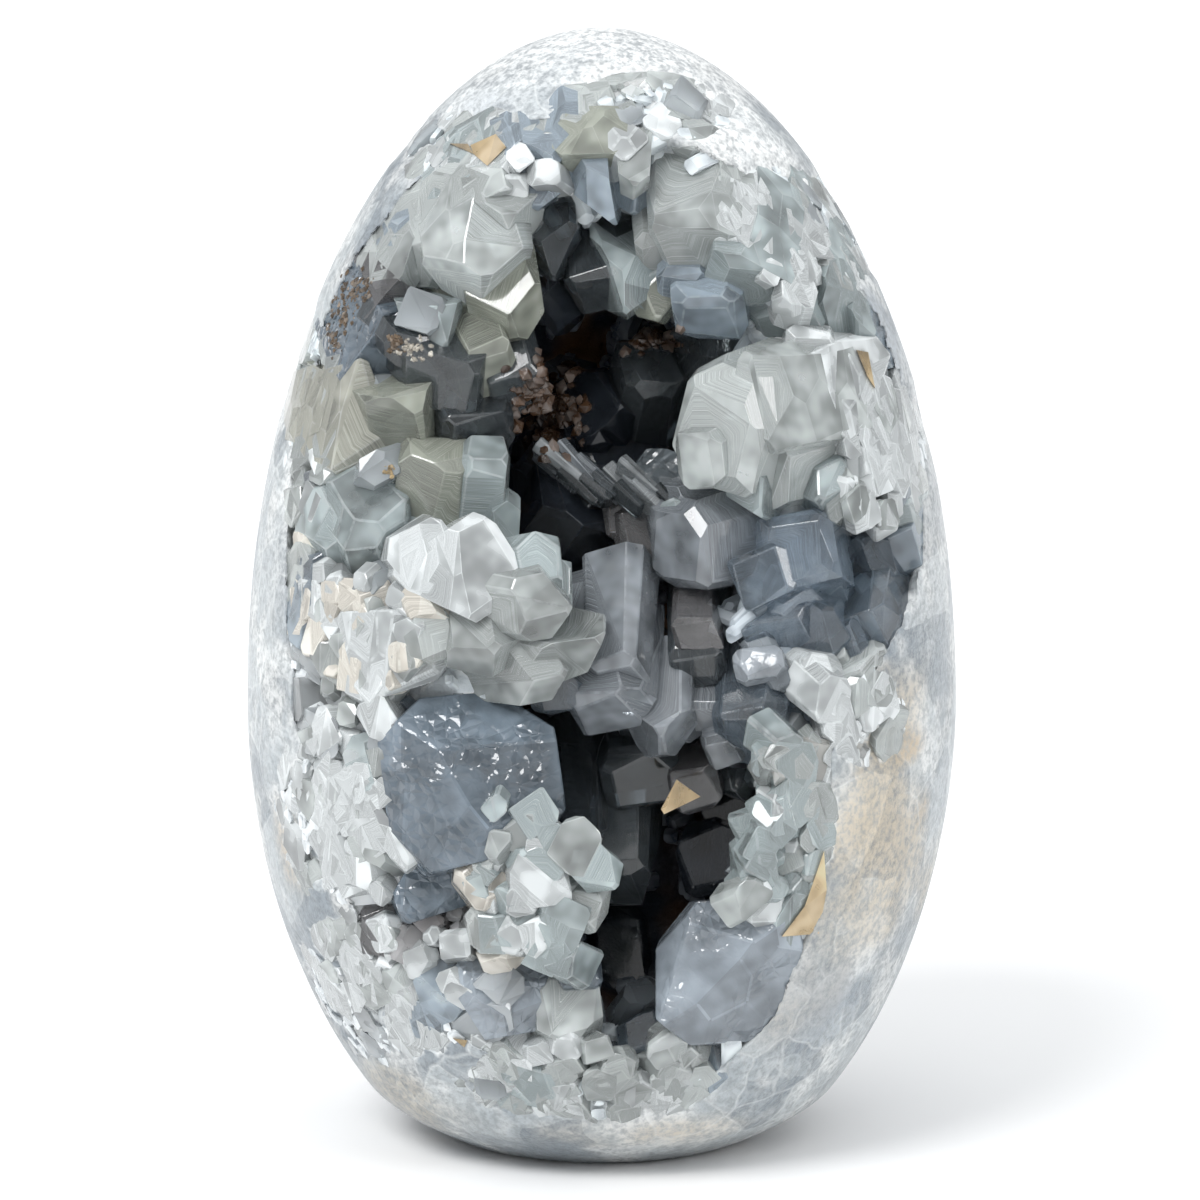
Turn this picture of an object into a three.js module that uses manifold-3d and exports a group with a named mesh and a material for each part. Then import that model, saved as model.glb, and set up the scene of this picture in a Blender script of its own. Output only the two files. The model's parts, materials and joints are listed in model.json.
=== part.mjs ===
// A celestite geode ground to the shape of an egg. It stands on a small flat spot, and the hollow
// that opens at the front is lined with one crust of blocky crystals. Millimetres, +Z up, the
// hollow faces -Y, and the origin is the middle of the flat spot.
import * as THREE from "three";
import { ConvexGeometry } from "three/addons/geometries/ConvexGeometry.js";
import { mergeVertices } from "three/addons/utils/BufferGeometryUtils.js";
import Module from "manifold-3d";

const wasm = await Module();
wasm.setup();

// The egg: an ellipse below its widest section, slightly more pointed above it.
const EGG_HEIGHT = 140;
const EGG_RADIUS = 44.7;
const WIDEST_HEIGHT = 56;
const LOWER_REACH = 66;
const UPPER_POWER = 0.52;
const FLAT_RADIUS = 21.5;
const FLAT_EDGE_HEIGHT = 1.5;
const EGG_SEGMENTS = 40;
const EGG_RINGS = 8;

// The hollow: a shelf that follows the egg's surface, and two pockets that go deeper. The mouth
// looks forward and a little up, so both are measured in the mouth's own frame:
// across to the right, up, and toward the front.
const MOUTH_TILT = 10;
const SHELF_DEPTH = 9;
const MOUTH_FLOOR = 22;
const MOUTH_FRONT = 75;
const MOUTH_POINTS = 28;
const SHELF_SEGMENTS = 18;
const SHELF_RINGS = 5;
const POCKETS = [
  { centre: [0, 86, 40], reach: [24, 33, 38] },
  { centre: [3, 43, 36], reach: [21, 35, 30] },
];
const POCKET_SEGMENTS = 12;
const POCKET_RINGS = 8;

// Outline of the mouth as [across, up], from the top and clockwise as seen from the front.
const MOUTH_OUTLINE = [
  [-2, 126], [10, 122.5], [20, 117], [29, 109], [35, 99], [38.5, 87], [39.5, 75], [37, 64],
  [30.5, 55], [27, 46], [27, 34], [23, 21], [17, 11], [7, 6], [-2, 6.5], [-11, 10], [-21, 16.5],
  [-29, 26.5], [-34, 37], [-37, 50], [-38, 63], [-38.5, 76], [-37.3, 89], [-34, 101],
  [-27.5, 112.5], [-19, 121], [-11, 125],
];

// The crust: a lining with crystals that are rooted in it.
const CRUST_GAP = 0.3;
const LINING_THICKNESS = 3;
const LINING_SET_BACK = 2;
const ROOT_DEPTH = 2.5;
const ROOT_STEP = 0.5;
const LONGEST_CRYSTAL = 60;

// Crystal habit: how far the corners of the larger prisms and the edges of the free end are cut
// back. Small blocks have two sloping edges, larger ones four.
const CORNER_KEEP = 0.84;
const CORNER_LEAST = 11;
const FOUR_SLOPES_LEAST = 7.5;
const SIDE_TAPER = 0.05;
const SIDE_WOBBLE = 0.14;
const TIP_WOBBLE = 0.3;
const BLOCK = { slope: 40, keep: 0.68 };
const POINT = { slope: 50, keep: 0.1 };
const CHISEL = { slope: 42, keep: 0.08, endSlope: 32, endKeep: 0.55 };

// Each crystal: [across, up, depth of its free end behind the egg's surface, turn to the right,
// rise, spin about its own axis, width, thickness, habit].
const CROWN = [
  [-1.5, 123.7, 0.6, 0, -12, 10, 9.5, 9.5, "block"],
  [1.2, 116.5, 5, 2, -16, 0, 8.8, 9.5, "block"],
  [10.2, 113.8, 2, -3, -16, 4, 11.5, 11.5, "block"],
  [-9, 118.4, 3.5, 6, -14, 30, 9.5, 9, "point"],
  [-17.8, 117.2, 0.8, -8, -6, 12, 12.5, 12, "block"],
  [-15, 108.2, 2.5, 5, -14, -8, 12.5, 9.5, "chisel"],
  [-23, 111.6, 2.5, 0, -10, 20, 8, 8, "block"],
  [-10.8, 103, 8.5, 10, -20, 5, 8.5, 8, "block"],
  [-6.4, 110.3, 12, 6, -20, 15, 8, 9.5, "block"],
  [2.8, 105.8, 12, -4, -22, 40, 9.5, 9, "point"],
  [1.6, 110.5, 16, 0, -20, 12, 9, 7, "block"],
  [7.4, 104, 15, 6, -24, 25, 6.5, 6.5, "block"],
  [18, 109, 3, 0, -14, -12, 15, 11, "point"],
  [13.4, 103.6, 12, 0, -20, 5, 9, 8, "point"],
  [26.6, 104.4, 3, -10, -12, 15, 9, 10, "block"],
  [20.6, 103, 8, -8, -18, 30, 9, 8, "block"],
  [32.5, 100.5, 0.4, 6, -6, 20, 9, 9, "block"],
];
const LEFT_WALL = [
  [-28, 105, 1.5, -4, -10, 20, 12, 10, "block"],
  [-27.6, 99.4, 3, 14, -22, 8, 12, 9, "chisel"],
  [-33, 98, 1, -8, -6, 0, 7, 6, "block"],
  [-20.4, 101, 4, 10, -34, 12, 9, 8.5, "point"],
  [-19, 94.2, 7.5, 24, -30, -6, 14, 8.5, "chisel"],
  [-14, 96.6, 10, 22, -32, 18, 9.5, 9, "block"],
  [-10.4, 94.2, 15, 26, -28, 6, 7.5, 10, "block"],
  [-32.2, 88.4, 1.2, -6, 4, 28, 12, 12, "point"],
  [-24.8, 90, 7, 20, -6, 10, 9.5, 10.5, "chisel"],
  [-15.4, 90.2, 14, 30, -18, 0, 9.5, 8, "block"],
  [-32.4, 80.8, 4.5, -4, 6, 15, 7, 6, "block"],
  [-20.8, 80.4, 6, 14, 22, -4, 9.5, 13, "block"],
  [-14.4, 81.4, 8, 20, 22, -6, 6.5, 10.5, "block"],
  [-27.8, 75, 2, 0, 8, 38, 13, 12.5, "block"],
  [-16.2, 70.8, 0.8, 10, 4, 32, 12.5, 11.5, "block"],
  [-35.4, 77, 1, -18, 0, 5, 6, 9, "block"],
  [-33, 70.4, 4, -8, 0, 20, 8.5, 8, "block"],
  [-24.6, 60.8, 1, 2, -8, 14, 12, 11.5, "block"],
  [-7.8, 70.8, 5, 24, 16, 10, 8, 9, "chisel"],
  [-8, 63.4, 3, 26, -6, 70, 12, 15, "chisel"],
  [-15.4, 62, 1.8, 10, -14, 8, 11, 10, "block"],
  [-26, 55.6, 2, 6, -20, 30, 7, 5, "point"],
  [-32.6, 61, 1, -14, 0, 12, 9, 10, "block"],
];
const BACK_WALL = [
  [-4.4, 77.8, 32, 14, 22, 42, 17, 19, "block"],
  [0.8, 91, 30, -4, 8, 35, 10, 10, "chisel"],
  [6.4, 92.4, 27, -14, -8, 10, 9, 11, "block"],
  [12.6, 98.6, 19, -18, -22, 50, 9, 13, "chisel"],
  [5, 83, 24, -12, 8, 78, 8, 15, "chisel"],
  [5.4, 75.4, 22, -8, 4, 10, 8, 10.5, "point"],
  [13.8, 73.4, 10, -22, -8, 20, 13.5, 15.5, "chisel"],
  [3, 61, 8, -4, 10, 6, 11, 16.5, "block"],
  [7.6, 52.8, 9.5, 4, -10, 24, 9.5, 9, "block"],
  [2, 38.6, 17, 0, -14, 8, 12.5, 15.5, "block"],
  [4.6, 45.6, 19, 4, -4, 20, 11, 10, "block"],
  [13.2, 36, 20, -10, 0, 12, 9.5, 10.5, "block"],
  [11.8, 45, 16, -6, 4, 30, 7, 6.5, "block"],
  [15, 50, 11, -10, 6, 22, 6, 6.5, "block"],
  [2, 25.4, 29, -4, 8, 4, 8, 18, "block"],
  [-4.6, 41.8, 24, 10, 4, -4, 7, 16, "chisel"],
];
const RIGHT_WALL = [
  [18.4, 89.6, 5, -16, 2, -14, 12, 18, "block"],
  [17.2, 80.6, 6, -8, -26, 16, 8.5, 8.5, "point"],
  [27.8, 92, 0.6, 4, 0, -12, 12.5, 13.5, "block"],
  [32.4, 83.8, 0.8, 8, -6, 20, 14, 9, "block"],
  [28, 79, 3, 0, -24, 18, 6.5, 7, "point"],
  [37, 74.4, 3, 10, -4, 12, 8, 6.5, "block"],
  [29.4, 72, 6.5, -8, 18, 8, 13, 10, "point"],
  [31.8, 64, 5, 8, -2, 74, 10, 14.5, "chisel"],
  [24.6, 63, 9, -14, -4, 30, 9.5, 9, "block"],
  [19.6, 65.6, 10, -16, 6, 0, 10.5, 8, "point"],
  [18.8, 55.2, 8, -16, -4, 12, 10.5, 13.5, "block"],
  [39, 68.4, 0.4, 18, 0, 6, 6, 10, "block"],
  [33, 57.4, 1, 10, -4, 24, 9.5, 8.5, "block"],
  [21.6, 45, 3, -16, 10, 10, 8, 13, "point"],
  [18.8, 38.4, 6, -20, 0, 25, 6, 7, "block"],
  [21, 33.4, 4, -14, 0, 12, 7, 7.5, "block"],
  [26.2, 31.4, 0.8, 0, 0, -22, 4.4, 10.5, "chisel"],
  [9.2, 42.8, 13, -4, 10, -24, 5, 3.6, "chisel"],
];
const LOWER_LEFT = [
  [-16, 45.6, 2, 8, 10, 6, 20, 20, "block"],
  [-27.8, 48.2, 1, -4, 0, 16, 7, 8, "block"],
  [-20.2, 32.4, 6, 4, 4, 20, 12, 8, "block"],
  [-8.6, 38.6, 1.5, 14, 12, 24, 7.5, 8, "point"],
  [-5.6, 33, 1.6, 16, 0, 10, 7.5, 8, "block"],
  [-11.4, 32.6, 1, 4, 4, 35, 8, 8, "point"],
  [-8, 26.8, 1.4, 10, -6, 15, 9, 7.5, "block"],
  [-26.6, 27.2, 3, -2, 4, 12, 7, 6, "block"],
  [-30.8, 31.4, 1.6, -8, 0, 28, 8, 9, "point"],
  [-12.4, 19, 2, 4, 4, 8, 12, 9, "block"],
  [-19.2, 20, 1.6, 0, 6, 20, 7, 9, "block"],
];
const FLOOR = [
  [-3.6, 18.2, 4, 10, 4, 8, 8.5, 10, "block"],
  [-3.2, 11.6, 8, 6, 14, 0, 7.5, 6, "block"],
  [1.4, 9.8, 6, 0, 22, 22, 5.5, 5.5, "point"],
  [-12, 12.4, 0.8, 2, 8, 18, 8, 8, "block"],
  [-7.6, 10.2, 1, 2, 14, 40, 7.5, 7.5, "point"],
  [7.8, 9.4, 0.8, -2, 20, 30, 6.5, 7.5, "point"],
  [13.8, 20.6, 1, -8, 10, 6, 18.5, 18, "block"],
  [18.4, 12.6, 0.6, 2, 10, 18, 10, 9, "block"],
];
const CRYSTALS = [...CROWN, ...LEFT_WALL, ...BACK_WALL, ...RIGHT_WALL, ...LOWER_LEFT, ...FLOOR];

// Colours, roughness as seen: pale ground stone, and clear grey-blue crystals.
const STONE = new THREE.MeshStandardMaterial({ color: 0xc9d0d6, roughness: 0.55, metalness: 0 });
const CRYSTAL = new THREE.MeshStandardMaterial({ color: 0x9fb0bd, roughness: 0.2, metalness: 0 });

// The mouth's frame: columns across, up and toward the front.
const TILT = THREE.MathUtils.degToRad(MOUTH_TILT);
const MOUTH_FRAME = new THREE.Matrix4().makeBasis(
  new THREE.Vector3(1, 0, 0),
  new THREE.Vector3(0, Math.sin(TILT), Math.cos(TILT)),
  new THREE.Vector3(0, -Math.cos(TILT), Math.sin(TILT)),
);

// A solid from a closed geometry, by its positions alone.
function solidFrom(geometry) {
  const bare = new THREE.BufferGeometry();
  bare.setAttribute("position", geometry.getAttribute("position").clone());
  if (geometry.index) {
    bare.setIndex(geometry.index.clone());
  }
  const merged = mergeVertices(bare, 1e-4);
  const mesh = new wasm.Mesh({
    numProp: 3,
    vertProperties: new Float32Array(merged.getAttribute("position").array),
    triVerts: new Uint32Array(merged.index.array),
  });
  return new wasm.Manifold(mesh);
}

// A geometry with flat faces from a solid.
function geometryFrom(solid) {
  const mesh = solid.getMesh();
  const geometry = new THREE.BufferGeometry();
  geometry.setAttribute("position", new THREE.Float32BufferAttribute(mesh.vertProperties, 3));
  geometry.setIndex([...mesh.triVerts]);
  geometry.computeVertexNormals();
  return geometry;
}

// The largest closed skin of a solid: loose chips go, and pockets sealed inside it are filled.
function largestBody(solid) {
  const bodies = solid.decompose();
  return bodies.reduce((a, b) => (b.volume() > a.volume() ? b : a));
}

// Radius of the egg at a height, set in by a distance.
function eggRadius(height, inset = 0) {
  const radius = EGG_RADIUS - inset;
  if (height >= WIDEST_HEIGHT) {
    const t = (height - WIDEST_HEIGHT) / (EGG_HEIGHT - inset - WIDEST_HEIGHT);
    return radius * Math.max(0, 1 - t * t) ** UPPER_POWER;
  }
  const t = (WIDEST_HEIGHT - height) / (LOWER_REACH - inset);
  return radius * Math.sqrt(Math.max(0, 1 - t * t));
}

// The egg as a solid of revolution, with a flat spot whose edge is rounded off.
function egg(inset, segments, rings) {
  const foot = inset + FLAT_EDGE_HEIGHT;
  const drop = WIDEST_HEIGHT - foot;
  const rise = EGG_HEIGHT - inset - WIDEST_HEIGHT;
  const profile = [new THREE.Vector2(0, inset), new THREE.Vector2(FLAT_RADIUS, inset)];
  for (let i = 0; i < rings; i += 1) {
    const height = WIDEST_HEIGHT - drop * Math.cos((i / rings) * (Math.PI / 2));
    profile.push(new THREE.Vector2(eggRadius(height, inset), height));
  }
  for (let i = 0; i < rings; i += 1) {
    const height = WIDEST_HEIGHT + rise * Math.sin((i / rings) * (Math.PI / 2));
    profile.push(new THREE.Vector2(eggRadius(height, inset), height));
  }
  profile.push(new THREE.Vector2(0, EGG_HEIGHT - inset));
  const geometry = new THREE.LatheGeometry(profile, segments);
  geometry.rotateX(Math.PI / 2);
  return solidFrom(geometry);
}

// Point of the mouth's frame in the part's frame.
function fromMouth(across, up, toward) {
  return new THREE.Vector3(across, up, toward).applyMatrix4(MOUTH_FRAME);
}

function insideEgg(point, inset = 0) {
  const high = point.z > inset && point.z < EGG_HEIGHT - inset;
  return high && Math.hypot(point.x, point.y) < eggRadius(point.z, inset);
}

// How far toward the front the egg's surface lies on a line of sight into the mouth.
function surfaceToward(across, up) {
  let toward = MOUTH_FRONT;
  while (!insideEgg(fromMouth(across, up, toward)) && toward > 0) {
    toward -= 0.1;
  }
  return toward;
}

// The mouth's outline as a smooth closed curve, drawn in by a distance.
function mouthCurve(inset) {
  const corners = MOUTH_OUTLINE.map(([across, up]) => new THREE.Vector3(across, up, 0));
  const curve = new THREE.CatmullRomCurve3(corners, true, "centripetal");
  const points = curve.getSpacedPoints(MOUTH_POINTS).slice(0, -1);
  return points.map((point, i) => {
    const before = points[(i + points.length - 1) % points.length];
    const after = points[(i + 1) % points.length];
    const along = after.clone().sub(before).normalize();
    return new THREE.Vector2(point.x + along.y * inset, point.y - along.x * inset);
  });
}

function insideOutline(outline, across, up) {
  let inside = false;
  outline.forEach((a, i) => {
    const b = outline[(i + outline.length - 1) % outline.length];
    const crosses = a.y > up !== b.y > up;
    if (crosses && across < ((b.x - a.x) * (up - a.y)) / (b.y - a.y) + a.x) {
      inside = !inside;
    }
  });
  return inside;
}

// The space of the hollow, drawn in from its wall by a distance.
function hollow(inset) {
  const shape = new THREE.Shape(mouthCurve(inset));
  const depth = MOUTH_FRONT - MOUTH_FLOOR - inset;
  const prism = new THREE.ExtrudeGeometry(shape, { depth, bevelEnabled: false });
  prism.translate(0, 0, MOUTH_FLOOR + inset);
  prism.applyMatrix4(MOUTH_FRAME);
  let space = solidFrom(prism).subtract(egg(SHELF_DEPTH - inset, SHELF_SEGMENTS, SHELF_RINGS));
  POCKETS.forEach(({ centre, reach }) => {
    const pocket = new THREE.SphereGeometry(1, POCKET_SEGMENTS, POCKET_RINGS);
    pocket.scale(reach[0] - inset, reach[1] - inset, reach[2] - inset);
    pocket.translate(...centre);
    pocket.applyMatrix4(MOUTH_FRAME);
    space = space.add(solidFrom(pocket));
  });
  return space;
}

const OUTLINE = mouthCurve(0);
const FROM_FRAME = MOUTH_FRAME.clone().invert();

function insideHollow(point) {
  const local = point.clone().applyMatrix4(FROM_FRAME);
  const onShelf = local.z > MOUTH_FLOOR && !insideEgg(point, SHELF_DEPTH);
  if (onShelf && insideOutline(OUTLINE, local.x, local.y)) {
    return true;
  }
  return POCKETS.some(({ centre, reach }) => {
    const x = (local.x - centre[0]) / reach[0];
    const y = (local.y - centre[1]) / reach[1];
    const z = (local.z - centre[2]) / reach[2];
    return x * x + y * y + z * z < 1;
  });
}

// A repeatable irregularity between -0.5 and 0.5 for one face of one crystal.
function wobble(crystal, face) {
  const value = Math.sin(crystal * 12.9898 + face * 78.233) * 43758.5453;
  return value - Math.floor(value) - 0.5;
}

// The faces of a crystal, each a unit normal and its distance from the middle of the free end,
// with the crystal's axis along +Z.
function crystalFaces(crystal, width, thickness, length, habit) {
  const faces = [];
  const reach = (n) => (Math.abs(n.x) * width + Math.abs(n.y) * thickness) / 2;
  const face = (x, y, z, keep, give) => {
    const k = faces.length;
    const normal = new THREE.Vector3(
      x + give * wobble(crystal, 3 * k),
      y + give * wobble(crystal, 3 * k + 1),
      z,
    ).normalize();
    const distance = keep * reach(normal) * (1 + give * wobble(crystal, 3 * k + 2));
    faces.push({ normal, distance });
  };
  const slope = (degrees, x, y, keep) => {
    const tilt = THREE.MathUtils.degToRad(degrees);
    face(x * Math.sin(tilt), y * Math.sin(tilt), Math.cos(tilt), keep, TIP_WOBBLE);
  };
  [[1, 0], [-1, 0], [0, 1], [0, -1]].forEach(([x, y]) => face(x, y, SIDE_TAPER, 1, SIDE_WOBBLE));
  const corners = [[1, 1], [-1, 1], [-1, -1], [1, -1]];
  if (Math.min(width, thickness) >= CORNER_LEAST) {
    corners.forEach(([x, y]) => face(x * 0.7, y * 0.7, SIDE_TAPER, CORNER_KEEP, SIDE_WOBBLE));
  }
  if (habit === "point") {
    corners.forEach(([x, y]) => slope(POINT.slope, x * 0.8, y * 0.6, POINT.keep));
  } else if (habit === "chisel") {
    [1, -1].forEach((x) => slope(CHISEL.slope, x, 0, CHISEL.keep));
    [1, -1].forEach((y) => slope(CHISEL.endSlope, 0, y, CHISEL.endKeep));
  } else {
    [1, -1].forEach((x) => slope(BLOCK.slope, x, 0, BLOCK.keep));
    if (Math.min(width, thickness) >= FOUR_SLOPES_LEAST) {
      [1, -1].forEach((y) => slope(BLOCK.slope, 0, y, BLOCK.keep));
    }
  }
  faces.push({ normal: new THREE.Vector3(0, 0, 1), distance: 0 });
  faces.push({ normal: new THREE.Vector3(0, 0, -1), distance: length });
  return faces;
}

// The corners of the convex solid that lies behind all of the faces.
function convexCorners(faces) {
  const corners = [];
  const outside = (p) => faces.some(({ normal, distance }) => normal.dot(p) > distance + 1e-6);
  for (let i = 0; i < faces.length; i += 1) {
    for (let j = i + 1; j < faces.length; j += 1) {
      const edge = new THREE.Vector3().crossVectors(faces[i].normal, faces[j].normal);
      for (let k = j + 1; k < faces.length; k += 1) {
        const volume = edge.dot(faces[k].normal);
        if (Math.abs(volume) < 1e-4) {
          continue;
        }
        const jk = new THREE.Vector3().crossVectors(faces[j].normal, faces[k].normal);
        const ki = new THREE.Vector3().crossVectors(faces[k].normal, faces[i].normal);
        const corner = jk.multiplyScalar(faces[i].distance / volume);
        corner.addScaledVector(ki, faces[j].distance / volume);
        corner.addScaledVector(edge, faces[k].distance / volume);
        const known = corners.some((c) => c.distanceTo(corner) < 1e-3);
        if (!known && !outside(corner)) {
          corners.push(corner);
        }
      }
    }
  }
  return corners;
}

// One crystal, from its free end back to its root in the wall of the hollow.
function crystalSolid(row, index) {
  const [across, up, depth, turn, rise, spin, width, thickness, habit] = row;
  const [t, r, s] = [turn, rise, spin].map(THREE.MathUtils.degToRad);
  const tip = fromMouth(across, up, surfaceToward(across, up) - depth);
  const local = new THREE.Vector3(Math.sin(t) * Math.cos(r), Math.sin(r), Math.cos(t) * Math.cos(r));
  const axis = local.transformDirection(MOUTH_FRAME);
  let length = ROOT_STEP;
  while (length < LONGEST_CRYSTAL && insideHollow(tip.clone().addScaledVector(axis, -length))) {
    length += ROOT_STEP;
  }
  const side = new THREE.Vector3(1, 0, 0).addScaledVector(axis, -axis.x).normalize();
  side.applyAxisAngle(axis, s);
  const front = new THREE.Vector3().crossVectors(axis, side);
  const place = new THREE.Matrix4().makeBasis(side, front, axis).setPosition(tip);
  const faces = crystalFaces(index, width, thickness, length + ROOT_DEPTH, habit);
  const geometry = new ConvexGeometry(convexCorners(faces));
  geometry.applyMatrix4(place);
  return solidFrom(geometry);
}

const wholeEgg = egg(0, EGG_SEGMENTS, EGG_RINGS);
const stoneEgg = largestBody(wholeEgg.subtract(hollow(0)));

const liningOuter = hollow(CRUST_GAP);
const liningMiddle = hollow(CRUST_GAP + LINING_THICKNESS / 2);
const liningInner = hollow(CRUST_GAP + LINING_THICKNESS);
const sunkEgg = egg(LINING_SET_BACK, SHELF_SEGMENTS, SHELF_RINGS);
const lining = liningOuter.subtract(liningInner).intersect(sunkEgg);
const crystals = CRYSTALS.map(crystalSolid).reduce((all, crystal) => all.add(crystal));
const crystalCrust = largestBody(crystals.intersect(liningMiddle).add(lining).intersect(wholeEgg));

const part = new THREE.Group();
part.name = "celestite_geode";
[
  ["stone_egg", stoneEgg, STONE],
  ["crystal_crust", crystalCrust, CRYSTAL],
].forEach(([name, solid, material]) => {
  const mesh = new THREE.Mesh(geometryFrom(solid), material);
  mesh.name = name;
  part.add(mesh);
});

export default part;
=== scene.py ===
# %% [markdown]
# # A celestite geode in the shape of an egg
# The real object is a natural geode that was ground to an egg. Its outside is pale stone, ground
# smooth; its front is broken open on a hollow full of grey-blue crystals that grow from the walls
# towards the middle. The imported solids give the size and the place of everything, and here they
# get their looks.

import json
import math
import random

import bmesh
import bpy
import numpy as np
from mathutils import Matrix, Vector, noise
from mathutils.bvhtree import BVHTree

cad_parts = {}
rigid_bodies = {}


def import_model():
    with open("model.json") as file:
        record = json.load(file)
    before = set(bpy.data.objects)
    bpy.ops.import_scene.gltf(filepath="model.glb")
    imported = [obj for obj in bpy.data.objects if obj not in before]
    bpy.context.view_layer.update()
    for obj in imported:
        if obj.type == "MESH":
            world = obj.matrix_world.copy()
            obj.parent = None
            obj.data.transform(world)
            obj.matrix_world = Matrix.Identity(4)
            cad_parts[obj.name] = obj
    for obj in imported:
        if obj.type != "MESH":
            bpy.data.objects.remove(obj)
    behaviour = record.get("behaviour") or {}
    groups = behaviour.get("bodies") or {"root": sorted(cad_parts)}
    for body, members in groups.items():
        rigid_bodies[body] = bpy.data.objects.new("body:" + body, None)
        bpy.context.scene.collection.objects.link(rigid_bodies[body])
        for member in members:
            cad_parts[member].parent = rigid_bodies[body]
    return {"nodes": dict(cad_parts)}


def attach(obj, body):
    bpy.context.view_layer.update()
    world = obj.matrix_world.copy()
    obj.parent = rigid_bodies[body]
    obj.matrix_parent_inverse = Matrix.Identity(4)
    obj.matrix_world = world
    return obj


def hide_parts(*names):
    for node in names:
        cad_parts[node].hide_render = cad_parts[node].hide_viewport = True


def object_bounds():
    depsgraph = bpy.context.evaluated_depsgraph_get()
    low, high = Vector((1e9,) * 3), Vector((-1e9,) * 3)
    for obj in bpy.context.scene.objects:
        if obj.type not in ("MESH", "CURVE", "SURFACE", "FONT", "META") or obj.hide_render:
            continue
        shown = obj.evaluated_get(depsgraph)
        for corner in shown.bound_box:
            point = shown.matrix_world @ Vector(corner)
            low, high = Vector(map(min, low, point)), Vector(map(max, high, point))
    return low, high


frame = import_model()
CAD_BOX = [list(corner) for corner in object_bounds()]
print("solids:", sorted(frame["nodes"]))

# %% [markdown]
# ## The egg's own measures
# Everything on this object follows from two things: the egg's profile, and the direction in which
# the mouth of the hollow looks, forward and ten degrees up. The measures are in millimetres, as in
# the part's source, and are turned into metres only when a mesh is made.

# %% Egg profile and mouth frame
MM = 0.001
EGG_HEIGHT = 140.0
EGG_RADIUS = 44.7
WIDEST_HEIGHT = 56.0
LOWER_REACH = 66.0
UPPER_POWER = 0.52
MOUTH_TILT = math.radians(10)
MOUTH_FRONT = 75.0
SIGHT_STEP = 0.1
SLOPE_STEP = 0.05
FOOT_GAP, TIP_GAP = 0.01, 0.06
ACROSS = Vector((1, 0, 0))
UP = Vector((0, math.sin(MOUTH_TILT), math.cos(MOUTH_TILT)))
TOWARD = Vector((0, -math.cos(MOUTH_TILT), math.sin(MOUTH_TILT)))


def egg_radius(z):
    """Radius of the egg at a height, for one height or an array of them."""
    z = np.asarray(z, float)
    up = np.clip((z - WIDEST_HEIGHT) / (EGG_HEIGHT - WIDEST_HEIGHT), 0, 1)
    down = np.clip((WIDEST_HEIGHT - z) / LOWER_REACH, 0, 1)
    above = (1 - up**2) ** UPPER_POWER
    below = np.sqrt(1 - down**2)
    return EGG_RADIUS * np.where(z >= WIDEST_HEIGHT, above, below)


def egg_depth(p):
    """Depth of points below the egg's surface in mm, and the surface's outward normals."""
    radial = np.hypot(p[:, 0], p[:, 1])
    z = np.clip(p[:, 2], FOOT_GAP, EGG_HEIGHT - TIP_GAP)
    slope = (egg_radius(z + SLOPE_STEP) - egg_radius(z - SLOPE_STEP)) / (2 * SLOPE_STEP)
    length = np.sqrt(1 + slope**2)
    depth = (egg_radius(z) - radial) / length - np.maximum(p[:, 2] - z, 0)
    out = np.stack([p[:, 0] / np.maximum(radial, 1e-6), p[:, 1] / np.maximum(radial, 1e-6), -slope], 1)
    return depth, out / length[:, None]


def from_mouth(across, up, toward):
    """A point given in the mouth's own directions."""
    return ACROSS * across + UP * up + TOWARD * toward


def inside_egg(p):
    """Whether a point lies inside the egg's profile."""
    return 0 < p.z < EGG_HEIGHT and math.hypot(p.x, p.y) < float(egg_radius(p.z))


def surface_toward(across, up):
    """How far toward the front the egg's surface lies on a line of sight."""
    toward = MOUTH_FRONT
    while toward > 0 and not inside_egg(from_mouth(across, up, toward)):
        toward -= SIGHT_STEP
    return toward


print("radius at the widest:", float(egg_radius(WIDEST_HEIGHT)), "mm")

# %% [markdown]
# ## Helpers for node trees
# The light, the finishes and the druse are all trees of nodes. These short functions add one node
# each. An input may be a plain value or the output of another node, which is then linked to it.


# %% Node helpers
def add_node(tree, kind, values=None, **settings):
    """A node with its settings; each input gets a plain value, or a link from a socket."""
    node = tree.nodes.new(kind)
    for key, value in settings.items():
        setattr(node, key, value)
    for key, value in (values or {}).items():
        if isinstance(value, bpy.types.NodeSocket):
            tree.links.new(value, node.inputs[key])
        elif value is not None:
            node.inputs[key].default_value = value
    return node


def math_node(tree, operation, a, b=None):
    """One sum on numbers; returns its output."""
    return add_node(tree, "ShaderNodeMath", {0: a, 1: b}, operation=operation).outputs[0]


def vector_node(tree, operation, a, b=None):
    """One sum on vectors or colours; returns its output."""
    node = add_node(tree, "ShaderNodeVectorMath", {0: a, 1: b}, operation=operation)
    return node.outputs["Value" if operation == "LENGTH" else "Vector"]


def scaled(tree, vector, scale):
    """A vector or colour times a number; returns its output."""
    node = add_node(tree, "ShaderNodeVectorMath", {0: vector, "Scale": scale}, operation="SCALE")
    return node.outputs["Vector"]


def ramp_range(tree, value, low, high, to_low=0.0, to_high=1.0):
    """A smooth Map Range from one span to another; returns its output."""
    spans = {"Value": value, "From Min": low, "From Max": high, "To Min": to_low, "To Max": to_high}
    return add_node(tree, "ShaderNodeMapRange", spans, interpolation_type="SMOOTHSTEP").outputs["Result"]


def mix_colours(tree, factor, a, b):
    """A mix of two colours; returns its output."""
    return add_node(tree, "ShaderNodeMix", {0: factor, 6: a, 7: b}, data_type="RGBA").outputs[2]


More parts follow.
